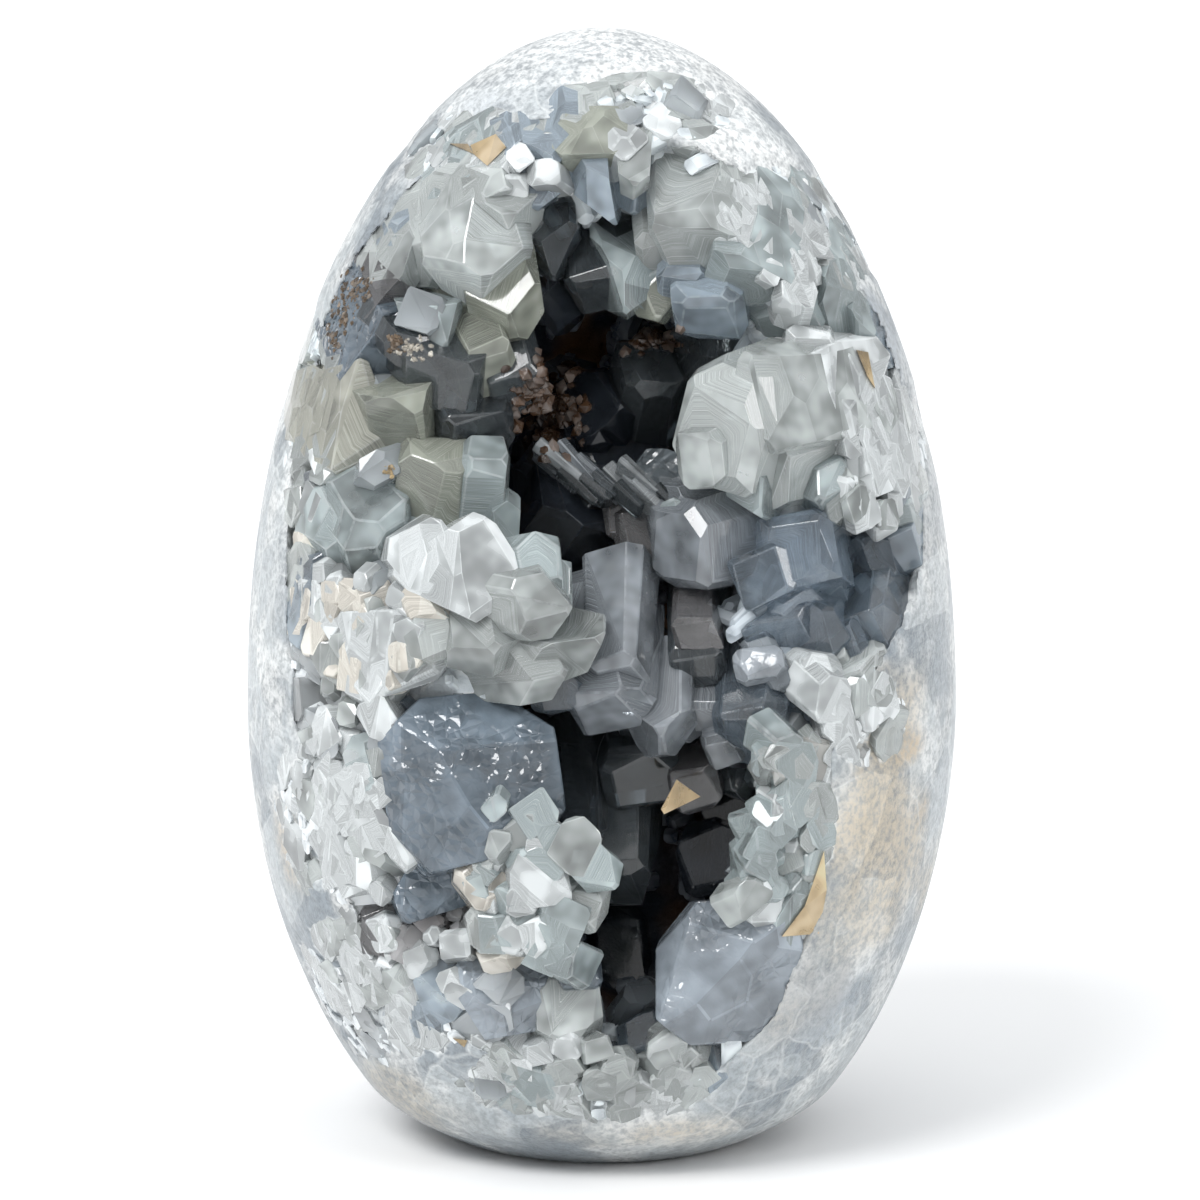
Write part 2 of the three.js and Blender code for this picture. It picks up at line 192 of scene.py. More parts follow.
def noise_node(tree, place, scale, detail, roughness):
    """A noise texture at a place; returns its outputs."""
    values = {"Vector": place, "Scale": scale, "Detail": detail, "Roughness": roughness}
    return add_node(tree, "ShaderNodeTexNoise", values).outputs


def attribute(tree, name, output="Fac"):
    """An attribute of the mesh; returns the output asked for."""
    return add_node(tree, "ShaderNodeAttribute", attribute_name=name).outputs[output]


def new_group(name, inputs, outputs):
    """An empty node group with named sockets; returns it, what it is given and its results."""
    group = bpy.data.node_groups.new(name, "ShaderNodeTree")
    for label, kind, default in inputs:
        socket = group.interface.new_socket(label, in_out="INPUT", socket_type="NodeSocket" + kind)
        if default is not None:
            socket.default_value = default
    for label in outputs:
        group.interface.new_socket(label, in_out="OUTPUT", socket_type="NodeSocketFloat")
    return group, group.nodes.new("NodeGroupInput").outputs, group.nodes.new("NodeGroupOutput").inputs


def use_group(tree, group, place, **values):
    """A group placed in a tree, reading its place from a socket; returns its outputs."""
    return add_node(tree, "ShaderNodeGroup", {"Place": place, **values}, node_tree=group).outputs


def new_finish(name):
    """A material with its node tree and its Principled shader."""
    finish = bpy.data.materials.new(name)
    finish.use_nodes = True
    return finish, finish.node_tree, finish.node_tree.nodes["Principled BSDF"]


# %% [markdown]
# ## Camera, light and floor
# The camera looks straight into the mouth from a distance, so the picture is almost free of
# perspective. The light is a white room: a world that is brightest overhead, and broad, distant
# lamps high at the front, which light the floor evenly. Faces that look up are then lighter than
# faces that look forward, so each crystal shows its facets.

# %% Camera
PIXELS_PER_MM = 7.86
PHOTO_SIZE = 1200
SENSOR = 36.0
CAMERA_DISTANCE = 900.0
AIM = from_mouth(-0.2, 67.0, 0.0)

scene = bpy.context.scene
camera = bpy.data.objects.new("camera", bpy.data.cameras.new("camera"))
camera.data.sensor_width = SENSOR
camera.data.lens = PIXELS_PER_MM * CAMERA_DISTANCE * SENSOR / PHOTO_SIZE
axes = Matrix((ACROSS, UP, TOWARD)).transposed().to_4x4()
camera.matrix_world = Matrix.Translation((AIM + TOWARD * CAMERA_DISTANCE) * MM) @ axes
scene.collection.objects.link(camera)
scene.camera = camera
print("lens:", round(camera.data.lens, 1), "mm")

# %% World and lamps
MOST_BOUNCES = 5
FEWER_BOUNCES = 2
ROOM_WHITE = (0.97, 0.985, 1.0, 1)
WALL_RISE, CEILING_RISE = -0.1, 0.8
WALL_LIGHT, CEILING_LIGHT = 0.42, 1.1
scene.view_settings.view_transform = "Standard"
scene.view_settings.look = "None"
scene.cycles.max_bounces = MOST_BOUNCES
scene.cycles.transmission_bounces = MOST_BOUNCES
scene.cycles.diffuse_bounces = FEWER_BOUNCES
scene.cycles.glossy_bounces = FEWER_BOUNCES
scene.cycles.use_light_tree = False

world = bpy.data.worlds.new("white_room")
scene.world = world
world.use_nodes = True
room = world.node_tree
background = room.nodes["Background"]
background.inputs["Color"].default_value = ROOM_WHITE
direction = add_node(room, "ShaderNodeTexCoord").outputs["Generated"]
height = add_node(room, "ShaderNodeSeparateXYZ", {0: direction}).outputs["Z"]
light_level = ramp_range(room, height, WALL_RISE, CEILING_RISE, WALL_LIGHT, CEILING_LIGHT)
room.links.new(light_level, background.inputs["Strength"])


def distant_lamp(name, place, spread, strength):
    """A far lamp that shines from a place towards the middle of the egg."""
    lamp = bpy.data.lights.new(name, "SUN")
    lamp.angle = math.radians(spread)
    lamp.energy = strength
    holder = bpy.data.objects.new(name, lamp)
    holder.location = place
    aim = Vector((0, 0, EGG_HEIGHT * MM / 2)) - Vector(place)
    holder.rotation_euler = aim.to_track_quat("-Z", "Y").to_euler()
    scene.collection.objects.link(holder)


distant_lamp("key_lamp", place=(-0.45, -0.6, 0.9), spread=24, strength=1.6)
distant_lamp("side_lamp", place=(0.8, -0.5, 0.5), spread=16, strength=0.4)
print("world and lamps made")

# %% Floor
FLOOR_REACH = 6.0
FLOOR_PALE, FLOOR_MATT = (0.94, 0.94, 0.94, 1), 0.9
corners = [(-1, -1), (1, -1), (1, 1), (-1, 1)]
floor_mesh = bpy.data.meshes.new("floor")
floor_mesh.from_pydata([(x * FLOOR_REACH, y * FLOOR_REACH, 0) for x, y in corners], [], [(0, 1, 2, 3)])
floor = bpy.data.objects.new("floor", floor_mesh)
scene.collection.objects.link(floor)
floor_finish, _, floor_shader = new_finish("pale_floor")
floor_shader.inputs["Base Color"].default_value = FLOOR_PALE
floor_shader.inputs["Roughness"].default_value = FLOOR_MATT
floor.data.materials.append(floor_finish)
print("floor made")

# %% [markdown]
# ## Shared effects as node groups
# Ground stone, large crystals and fine druse show the same things at different strengths: milky
# clouds where a crystal is flawed inside, a frosty grain on worn faces, cells where crystals were cut
# through by grinding, stains round certain places, and crinkled planes where a crystal is broken.
# Each is a node group with named inputs, placed in each finish with values of its own.

# %% Milk: white clouds, and the thin bright lines of healed cracks
CLOUD_START, CLOUD_REACH, CLOUD_SOFT = 0.95, 0.6, 0.16
CRACK_SCALE, CRACK_LEVEL, CRACK_WIDTH = 0.9, 0.52, 0.012
CRACK_FROM, CRACK_TO = 0.48, 0.6


def make_milk():
    group, given, result = new_group(
        "crystal_milk",
        [("Place", "Vector", None), ("Scale", "Float", 200.0), ("Amount", "Float", 0.5)],
        ("Cloud", "Mask", "Veil"),
    )
    link = group.links.new
    cloud = noise_node(group, given["Place"], given["Scale"], detail=2.0, roughness=0.7)["Fac"]
    link(cloud, result["Cloud"])
    reach = math_node(group, "MULTIPLY", given["Amount"], CLOUD_REACH)
    edge = math_node(group, "SUBTRACT", CLOUD_START, reach)
    link(ramp_range(group, cloud, edge, math_node(group, "ADD", edge, CLOUD_SOFT)), result["Mask"])
    finer = math_node(group, "MULTIPLY", given["Scale"], CRACK_SCALE)
    crack = noise_node(group, given["Place"], finer, detail=1.0, roughness=0.5)["Fac"]
    off = math_node(group, "ABSOLUTE", math_node(group, "SUBTRACT", crack, CRACK_LEVEL))
    line = ramp_range(group, off, 0.0, CRACK_WIDTH, 1.0, 0.0)
    link(math_node(group, "MULTIPLY", line, ramp_range(group, cloud, CRACK_FROM, CRACK_TO)), result["Veil"])
    return group


# %% Frost: fine grains on a worn face, drawn out along the crystal
def make_frost():
    group, given, result = new_group(
        "frost_skin",
        [("Place", "Vector", None), ("Scale", "Float", 900.0), ("Streak", "Float", 0.3)],
        ("Grain",),
    )
    stretch = add_node(group, "ShaderNodeCombineXYZ", {"X": 1.0, "Y": 1.0, "Z": given["Streak"]})
    drawn = vector_node(group, "MULTIPLY", given["Place"], stretch.outputs[0])
    grain = noise_node(group, drawn, given["Scale"], detail=2.0, roughness=0.7)["Fac"]
    group.links.new(grain, result["Grain"])
    return group


# %% Cut cells: crystals cut through by grinding
def make_cells():
    group, given, result = new_group(
        "cut_cells",
        [("Place", "Vector", None), ("Scale", "Float", 120.0), ("Width", "Float", 0.06)],
        ("Tone", "Seam"),
    )
    where = {"Vector": given["Place"], "Scale": given["Scale"]}
    cell = add_node(group, "ShaderNodeTexVoronoi", where)
    seam = add_node(group, "ShaderNodeTexVoronoi", where, feature="DISTANCE_TO_EDGE")
    split = add_node(group, "ShaderNodeSeparateColor", {0: cell.outputs["Color"]})
    group.links.new(split.outputs[0], result["Tone"])
    line = ramp_range(group, seam.outputs["Distance"], 0.0, given["Width"], 1.0, 0.0)
    group.links.new(line, result["Seam"])
    return group


# %% Patch: a ragged blot round one place
RAG_SWING = 3.2
PATCH_INNER, PATCH_OUTER = 0.2, 1.15


def make_patch():
    group, given, result = new_group(
        "ragged_patch",
        [("Place", "Vector", None), ("Rag", "Float", 0.5), ("Centre", "Vector", None),
         ("Reach", "Vector", (0.01, 0.01, 0.01))],
        ("Mask",),
    )
    away = vector_node(group, "SUBTRACT", given["Place"], given["Centre"])
    far = vector_node(group, "LENGTH", vector_node(group, "DIVIDE", away, given["Reach"]))
    swing = math_node(group, "MULTIPLY", math_node(group, "SUBTRACT", given["Rag"], 0.5), RAG_SWING)
    total = math_node(group, "ADD", far, swing)
    group.links.new(ramp_range(group, total, PATCH_INNER, PATCH_OUTER, 1.0, 0.0), result["Mask"])
    return group


# %% Crinkle: patches of small, tilted planes on a broken face
CRINKLE_FROM, CRINKLE_TO, CRINKLE_REST = 0.42, 0.6, 0.12
CRINKLE_BEND = (0.004, 0.004, 0.004)


def make_crinkle():
    group, given, result = new_group(
        "broken_crinkle",
        [("Place", "Vector", None), ("Scale", "Float", 600.0), ("Patch", "Float", 110.0)],
        ("Height",),
    )
    area = noise_node(group, given["Place"], given["Patch"], detail=2.0, roughness=0.6)
    mask = ramp_range(group, area["Fac"], CRINKLE_FROM, CRINKLE_TO, CRINKLE_REST, 1.0)
    bend = vector_node(group, "MULTIPLY", area["Color"], CRINKLE_BEND)
    where = {"Vector": vector_node(group, "ADD", given["Place"], bend), "Scale": given["Scale"]}
    planes = add_node(group, "ShaderNodeTexVoronoi", where, feature="DISTANCE_TO_EDGE").outputs["Distance"]
    group.links.new(math_node(group, "MULTIPLY", mask, planes), result["Height"])
    return group


MILK = make_milk()
FROST = make_frost()
CELLS = make_cells()
PATCH = make_patch()
CRINKLE = make_crinkle()
print("groups:", [group.name for group in (MILK, FROST, CELLS, PATCH, CRINKLE)])

# %% [markdown]
# ## The crystal finishes
# Celestite is clear, with a refractive index of 1.62. The finishes differ in how much light passes:
# clear crystals take a little red light out of it, milky ones are cloudy inside, frosted ones and
# sugary druse are worn or too fine to see into, crinkled ones are broken, and stained ones hold iron.
# The colour of each crystal, with painted shading that differs from facet to facet, its own grain
# direction and its worn edges, which are painted lighter as a highlight, come from attributes on its
# mesh, so one finish serves many crystals.

# %% One function for all the crystal finishes
CELESTITE_IOR = 1.62
CLOUD_WHITE = (0.88, 0.91, 0.92, 1)
CLOUD_SIZE, CLOUD_FROM, CLOUD_TO = 150.0, 0.3, 0.7
LIGHT_MOTTLE = 0.6
FROST_SIZE, FROST_STREAK = 750.0, 0.75
# Worn edges are painted lighter where the frost grain lets them: partly wear, partly a painted highlight.
WORN_HIGHLIGHT_FROM, WORN_HIGHLIGHT_TO = 0.35, 0.62
CLOUD_SHARE, WORN_HIGHLIGHT_SHARE = 0.65, 0.42
LIGHTER, WHITER = 1.5, 0.25
CLOUD_MATT, FROST_MATT = 0.25, 0.16
RELIEF_DISTANCE = 0.0004
CRINKLE_SIZE, CRINKLE_PATCH = 620.0, 100.0
CRINKLE_STRENGTH, CRINKLE_FROST = 2.6, 0.3


def crystal_finish(name, clear, roughness, milk, mottle, absorb=None, bump=0.0, crinkled=False):
    """A see-through finish: clear is the share of light that passes, milk how cloudy it is."""
    finish, tree, shader = new_finish(name)
    link = tree.links.new
    grain = attribute(tree, "grain", "Vector")
    tint = attribute(tree, "tint", "Color")
    inside = use_group(tree, MILK, grain, Scale=CLOUD_SIZE, Amount=milk)
    skin = use_group(tree, FROST, grain, Scale=FROST_SIZE, Streak=FROST_STREAK)["Grain"]
    level = ramp_range(tree, inside["Cloud"], CLOUD_FROM, CLOUD_TO, 1 - mottle, 1 + LIGHT_MOTTLE * mottle)
    # Worn edges are mixed toward white: wear, and a painted highlight along each edge.
    worn_and_highlit = math_node(tree, "MULTIPLY", attribute(tree, "edge"), ramp_range(tree, skin, WORN_HIGHLIGHT_FROM, WORN_HIGHLIGHT_TO))
    white = math_node(tree, "MAXIMUM", math_node(tree, "MULTIPLY", inside["Mask"], CLOUD_SHARE),
                      math_node(tree, "MULTIPLY", worn_and_highlit, WORN_HIGHLIGHT_SHARE))
    held = vector_node(tree, "MINIMUM", scaled(tree, tint, LIGHTER), CLOUD_WHITE[:3])
    cloudy = mix_colours(tree, WHITER, held, CLOUD_WHITE)
    link(mix_colours(tree, white, scaled(tree, tint, level), cloudy), shader.inputs["Base Color"])
    matt = math_node(tree, "ADD", math_node(tree, "MULTIPLY", inside["Mask"], CLOUD_MATT),
                     math_node(tree, "MULTIPLY", skin, FROST_MATT))
    link(math_node(tree, "ADD", matt, roughness), shader.inputs["Roughness"])
    if bump:
        height = skin
        if crinkled:
            planes = use_group(tree, CRINKLE, grain, Scale=CRINKLE_SIZE, Patch=CRINKLE_PATCH)["Height"]
            height = math_node(tree, "ADD", math_node(tree, "MULTIPLY", skin, CRINKLE_FROST),
                               math_node(tree, "MULTIPLY", planes, CRINKLE_STRENGTH))
        values = {"Strength": bump, "Distance": RELIEF_DISTANCE, "Height": height}
        link(add_node(tree, "ShaderNodeBump", values).outputs["Normal"], shader.inputs["Normal"])
    shader.inputs["Transmission Weight"].default_value = clear
    shader.inputs["IOR"].default_value = CELESTITE_IOR
    if absorb:
        colour, density = absorb
        volume = add_node(tree, "ShaderNodeVolumeAbsorption", {"Color": colour, "Density": density})
        link(volume.outputs[0], tree.nodes["Material Output"].inputs["Volume"])
    return finish


FINISHES = {
    "clear": crystal_finish("clear_crystal", clear=0.8, roughness=0.0, milk=0.5, mottle=0.42,
                            absorb=((0.62, 0.73, 0.82, 1), 22.0)),
    "milky": crystal_finish("milky_crystal", clear=0.58, roughness=0.0, milk=0.62, mottle=0.5),
    "frosted": crystal_finish("frosted_crystal", clear=0.1, roughness=0.12, milk=0.8, mottle=0.36),
    "sugar": crystal_finish("sugar_druse", clear=0.0, roughness=0.2, milk=0.8, mottle=0.2),
    "crinkled": crystal_finish("crinkled_crystal", clear=0.25, roughness=0.0, milk=0.3, mottle=0.35,
                               bump=1.0, crinkled=True),
    "stained": crystal_finish("stained_crystal", clear=0.35, roughness=0.2, milk=0.75, mottle=0.5,
                              bump=0.4),
}
FINISH_ORDER = list(FINISHES)
print("crystal finishes:", FINISH_ORDER)

# %% [markdown]
# ## The ground egg
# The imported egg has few, flat faces. The visible one starts from a copy of it, divided evenly by a
# voxel remesh. Points near the outside are laid on the exact egg profile, with the slight hollows
# that grinding by hand leaves. Points in the hollow are raised into an uneven, stony floor for the
# crust, and the edge of the foot is rounded.


# %% Mesh helpers
def mesh_copy(name, source):
    """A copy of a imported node's mesh with its loose triangles joined."""
    copy = bpy.data.meshes.new(name)
    work = bmesh.new()
    work.from_mesh(source.data)
    bmesh.ops.remove_doubles(work, verts=work.verts, dist=1e-6)
    work.to_mesh(copy)
    work.free()
    return copy


def evaluated_mesh(holder):
    """The mesh of an object with its modifiers applied; the object itself is removed."""
    depsgraph = bpy.context.evaluated_depsgraph_get()
    result = bpy.data.meshes.new_from_object(holder.evaluated_get(depsgraph))
    bpy.data.objects.remove(holder)
    return result


def remeshed(name, mesh, voxel):
    """A mesh divided evenly into small squares."""
    holder = bpy.data.objects.new(name, mesh)
    scene.collection.objects.link(holder)
    change = holder.modifiers.new("even", "REMESH")
    change.mode = "VOXEL"
    change.voxel_size = voxel * MM
    return evaluated_mesh(holder)


def ray_tree(*meshes):
    """A tree that finds the nearest face of some meshes, or the face that a ray meets."""
    verts, faces = [], []
    for mesh in meshes:
        first = len(verts)
        verts.extend(v.co.copy() for v in mesh.vertices)
        faces.extend(tuple(first + i for i in f.vertices) for f in mesh.polygons)
    return BVHTree.FromPolygons(verts, faces)


def read_vectors(mesh, name):
    """Positions or normals of a mesh's vertices as rows of three."""
    flat = np.empty(len(mesh.vertices) * 3, np.float32)
    mesh.vertices.foreach_get(name, flat)
    return flat.reshape(-1, 3).astype(float)


def write_points(mesh, points):
    """Moves a mesh's vertices to points in mm."""
    mesh.vertices.foreach_set("co", (points * MM).astype(np.float32).ravel())
    mesh.update()


def set_float(mesh, name, values):
    """Keeps one number for each vertex as an attribute."""
    layer = mesh.attributes.new(name, "FLOAT", "POINT")
    layer.data.foreach_set("value", np.asarray(values, np.float32))


def set_colour(mesh, name, values):
    """Keeps one colour for each vertex as an attribute."""
    layer = mesh.attributes.new(name, "FLOAT_COLOR", "POINT")
    four = np.concatenate([values, np.ones((len(values), 1))], 1)
    layer.data.foreach_set("color", four.astype(np.float32).ravel())


def noise_at(p, scale, seed, octaves):
    """Smooth noise between about -1 and 1 at points in mm."""
    shift = Vector((seed, seed * 0.7, seed * 1.3))
    return np.array([noise.fractal(Vector(q) * scale + shift, 1.0, 2.0, octaves) for q in p])


# %% [markdown]
# ## Zones of the crust
# Some parts of the hollow are lined with fine, sugary druse, others with bare or brown stone. A short
# list of zones, each round one place in the mouth, says how thick the druse stands and what colour
# the wall has there: a row holds the place across and up, the width and height, the amount and the
# colour. A second list has the clusters of small crystals: place, width and height, count and look.
# Where a cluster reaches the ground skin, the skin is broken down into a margin. The values are kept
# on the egg's mesh as attributes, which the stone's finish and the druse's tree read.

# %% Zones and clusters
WHITE = (0.80, 0.83, 0.84)
GREY = (0.56, 0.61, 0.64)
TAUPE = (0.46, 0.43, 0.43)
SAND = (0.74, 0.69, 0.60)
SLATE = (0.28, 0.33, 0.38)
# DEEP_SHADE is painted shade: the colour that the wall and the druse fade to deep in the hollow.
DEEP_SHADE = (0.10, 0.12, 0.15)
DRUSE_ZONES = [
    (-28, 38, 9, 9, 1.0, WHITE),
    (-32, 58, 7, 8, 0.9, WHITE),
    (-21, 27, 8, 5, 0.9, TAUPE),
    (-10, 10, 18, 6, 0.9, GREY),
    (-25, 18, 8, 6, 0.9, WHITE),
    (-9, 32, 7, 9, 1.0, WHITE),
    (33, 53, 7, 5, 1.0, WHITE),
    (33, 83, 6, 5, 1.0, WHITE),
    (27, 40, 5, 8, 0.8, SAND),
    (-33, 76, 5, 8, 0.6, SAND),
    (30, 104, 8, 6, 0.6, GREY),
    (24, 64, 9, 9, 0.0, SLATE),
    (27, 74, 8, 6, 0.0, SLATE),
    (8, 40, 8, 14, 0.1, SLATE),
]
CLUSTERS = [
    (-9, 32.7, 6.5, 9, 26, "ice"),
    (-33, 41.6, 6.5, 11, 42, "frost"),
    (-30, 62, 7, 8, 30, "sand"),
    (-27, 19.3, 10, 9, 42, "frost"),
    (-1.5, 7.9, 14, 4.5, 42, "pale"),
    (32.5, 52.5, 4.5, 5, 22, "frost"),
    (35.4, 85, 5, 8, 26, "frost"),
    (23.5, 39.7, 4.5, 10, 30, "ice"),
    (-36, 86, 3, 14, 26, "pale"),
    (-15.5, 121.8, 8, 4.5, 22, "frost"),
    (24, 112, 9, 7, 34, "frost"),
    (5, 127, 10, 4, 20, "pale"),
]
print("druse zones:", len(DRUSE_ZONES), "clusters:", len(CLUSTERS))

# %% Shape of the egg
VOXEL = 0.9
SKIN_BAND = 0.8
BASE_BAND = 0.25
LINING, LINING_FADE = 2.2, 3.0
WALL_ROUGH, WALL_GRAIN = 0.9, 0.22
GROUND_HOLLOW, GROUND_GRAIN = 0.14, 0.035
MARGIN_DEPTH = 2.2
MARGIN_FROM, MARGIN_FADE = 8.0, 8.0
MARGIN_GAIN, MARGIN_LOSS = 1.6, 0.25
MARGIN_ROUGH, MARGIN_GRAIN, MARGIN_MOST = 0.8, 0.25, 1.4
FOOT_HEIGHT, FOOT_ROUND = 7.0, 9.0


def nearness(p, across, up, wide, high):
    """A soft blot on points in mm: 1 at a place in the mouth, falling to 0 away from it."""
    a = p @ np.array(ACROSS)
    u = p @ np.array(UP)
    return np.exp(-(((a - across) / wide) ** 2) - ((u - up) / high) ** 2)


def margin_depth(p):
    """How far the ground skin is broken down where clusters of crystals reach it, in mm."""
    front = np.clip((p @ np.array(TOWARD) - MARGIN_FROM) / MARGIN_FADE, 0, 1)
    near = np.zeros(len(p))
    for across, up, wide, high, _, _ in CLUSTERS:
        near = np.maximum(near, nearness(p, across, up, wide, high))
    return MARGIN_DEPTH * front * np.clip(near * MARGIN_GAIN - MARGIN_LOSS, 0, 1)


egg_mesh = remeshed("ground_egg", mesh_copy("egg_copy", frame["nodes"]["stone_egg"]), VOXEL)
points = read_vectors(egg_mesh, "co") / MM
normals = read_vectors(egg_mesh, "normal")
depth, outward = egg_depth(points)
on_base = points[:, 2] < BASE_BAND
on_skin = (depth < SKIN_BAND) & ~on_base
in_hollow = ~on_skin & ~on_base

hand_ground = GROUND_HOLLOW * (noise_at(points, GROUND_GRAIN, seed=3.0, octaves=2) + 1.0)
uneven = MARGIN_ROUGH + MARGIN_ROUGH * noise_at(points, MARGIN_GRAIN, seed=5.0, octaves=3)
uneven = np.clip(uneven, 0, MARGIN_MOST)
margin = margin_depth(points) * uneven
points[on_skin] += outward[on_skin] * (depth - hand_ground - margin)[on_skin, None]
rise = np.clip((depth - SKIN_BAND) / LINING_FADE, 0, 1) * LINING
rise = rise + WALL_ROUGH * noise_at(points, WALL_GRAIN, seed=9.0, octaves=3)
points[in_hollow] += normals[in_hollow] * rise[in_hollow, None]
low = np.clip(1 - points[:, 2] / FOOT_HEIGHT, 0, 1)
points[:, :2] *= (1 - FOOT_ROUND / EGG_RADIUS * low**2)[:, None]
points[on_base, 2] = 0.0
points[:, 2] = np.maximum(points[:, 2], 0.0)
write_points(egg_mesh, points)
egg_mesh.polygons.foreach_set("use_smooth", [True] * len(egg_mesh.polygons))
print("egg points:", len(points), "in the hollow:", int(in_hollow.sum()))

# %% Zone attributes
OPEN_DRUSE, DEEP_DRUSE = 0.3, 0.18
# From DEEP_FROM to DEEP_TO mm deep, the druse thins out and its colour and the wall's fade to painted
# shade.
DEEP_FROM, DEEP_TO = 11.0, 20.0
MARGIN_LEAST, MARGIN_DRUSE = 0.4, 0.8


def zone_values(p, depth):
    """Amount and colour of the druse at points in mm; deep in the hollow the colour fades to painted shade.
    """
    deep = np.clip((depth - DEEP_FROM) / (DEEP_TO - DEEP_FROM), 0, 1)
    amount = OPEN_DRUSE + (DEEP_DRUSE - OPEN_DRUSE) * deep
    colour = np.tile(np.array(GREY), (len(p), 1))
    for across, up, wide, high, share, tint in DRUSE_ZONES:
        near = nearness(p, across, up, wide, high) * (1 - deep)
        amount = amount + (share - amount) * near
        colour += (np.array(tint) - colour) * near[:, None]
    # Deeper in, the colour fades to painted shade.
    colour += (np.array(DEEP_SHADE) - colour) * deep[:, None]
    return amount, colour


amount, zone_tint_and_deep_shade = zone_values(points, np.maximum(depth, 0))
in_margin = on_skin & (margin > MARGIN_LEAST)
amount = np.where(in_margin, np.maximum(amount, MARGIN_DRUSE), amount)
bears_druse = in_hollow | in_margin
set_float(egg_mesh, "depth", np.where(in_hollow, np.maximum(depth, 0), 0))
set_colour(egg_mesh, "tint", zone_tint_and_deep_shade)
ground_egg = bpy.data.objects.new("ground_egg", egg_mesh)
scene.collection.objects.link(ground_egg)
print("points that bear druse:", int(bears_druse.sum()))

# %% [markdown]
# ## The ground stone's finish
# The stone is mottled from blue-grey to white, with grains as fine as sugar and faint, pale seams
# between crystals that were cut through. Stains are listed as seen from the front: the place of the
# middle across and up, the reach in metres, the strength and the colour; the white blots on the cap
# are partly white stone and partly painted light from above. Inside the hollow the wall takes the
# colour of its zone, and deeper in it fades to painted shade, near black, with patches of rust.


# %% Stains
def on_surface(across, up):
    """A place on the egg's ground surface in metres, given as seen from the front."""
    return tuple(from_mouth(across, up, surface_toward(across, up)) * MM)


STONE_BLUE = (0.30, 0.34, 0.375, 1)
STONE_PALE = (0.45, 0.485, 0.50, 1)
STONE_WHITE = (0.66, 0.675, 0.675, 1)
# Partly the white stone of the cap, partly painted light: the top made lighter where light falls from
# above.
CAP_WHITE_AND_TOP_LIGHT = (0.86, 0.875, 0.87, 1)
SEAM_WHITE = (0.88, 0.90, 0.89, 1)
ROOT_WHITE = (0.86, 0.88, 0.88, 1)
SAND_STAIN = (0.54, 0.475, 0.375, 1)
BLUE_STAIN = (0.27, 0.315, 0.37, 1)
TAN_STAIN = (0.46, 0.37, 0.26, 1)
BROWN_STAIN = (0.20, 0.14, 0.08, 1)
STAINS = [
    # Blots on the cap: white stone, and painted light on the top of the egg.
    ((0, 134), (0.032, 0.032, 0.017), 1.0, CAP_WHITE_AND_TOP_LIGHT),
    ((24, 117), (0.018, 0.018, 0.013), 0.95, CAP_WHITE_AND_TOP_LIGHT),
    ((14, 124), (0.014, 0.014, 0.010), 0.9, CAP_WHITE_AND_TOP_LIGHT),
    ((25, 16), (0.012, 0.016, 0.011), 0.8, BLUE_STAIN),
    ((35.5, 99), (0.005, 0.010, 0.006), 0.75, BLUE_STAIN),
    ((-37.5, 66), (0.004, 0.010, 0.007), 0.6, BLUE_STAIN),
    ((-14, 127), (0.006, 0.010, 0.005), 0.4, BLUE_STAIN),
    ((-39, 78), (0.006, 0.020, 0.030), 0.6, STONE_WHITE),
    ((40, 85), (0.006, 0.020, 0.022), 0.6, STONE_WHITE),
    ((33, 43), (0.009, 0.012, 0.012), 0.8, SAND_STAIN),
    ((37, 36), (0.010, 0.016, 0.014), 0.8, SAND_STAIN),
    ((36, 52), (0.006, 0.012, 0.007), 0.6, SAND_STAIN),
    ((30, 27), (0.010, 0.014, 0.009), 0.5, SAND_STAIN),
    ((22, 16), (0.010, 0.014, 0.008), 0.4, SAND_STAIN),
    ((38, 49), (0.004, 0.006, 0.003), 0.8, TAN_STAIN),
    ((40, 42), (0.003, 0.006, 0.004), 0.6, TAN_STAIN),
    ((-24, 5), (0.010, 0.010, 0.006), 0.6, SAND_STAIN),
    ((10, 1.5), (0.014, 0.010, 0.004), 0.7, SAND_STAIN),
    ((-39, 37), (0.003, 0.008, 0.008), 0.6, TAN_STAIN),
    ((-30.5, 103), (0.004, 0.005, 0.006), 0.9, BROWN_STAIN),
    ((15, 12), (0.003, 0.003, 0.002), 0.6, SAND_STAIN),
]
print("stains:", len(STAINS))

# %% Ground stone finish
BROAD_SIZE, BROAD_DETAIL, BROAD_ROUGH = 40.0, 3.0, 0.62
CELL_BEND = (0.012, 0.012, 0.012)
LARGE_CELLS = {"Scale": 105.0, "Width": 0.035}
SMALL_CELLS = {"Scale": 330.0, "Width": 0.1}
STONE_MILK = {"Scale": 95.0, "Amount": 0.8}
SUGAR = {"Scale": 1100.0, "Streak": 1.0}
LARGE_TONE, SMALL_TONE, BROAD_TONE = 0.42, 0.22, 0.7
LARGE_SEAM, SMALL_SEAM, CRACK_SEAM = 0.3, 0.12, 0.25
SUGAR_LOW = 0.3
SPECKLE_LEAST = 0.3
ZONE_FROM, ZONE_TO = 1.0, 4.0
SUGAR_RELIEF, SUGAR_HEIGHT = 0.6, 0.0005
# HOLLOW_PAINTED_SHADE is painted shade for the deep hollow; HOLLOW_RUST is the rust mixed into it.
HOLLOW_PAINTED_SHADE = (0.018, 0.023, 0.032, 1)
HOLLOW_RUST = (0.13, 0.065, 0.026, 1)
STONE_MATT, MILK_MATT = 0.3, 0.3


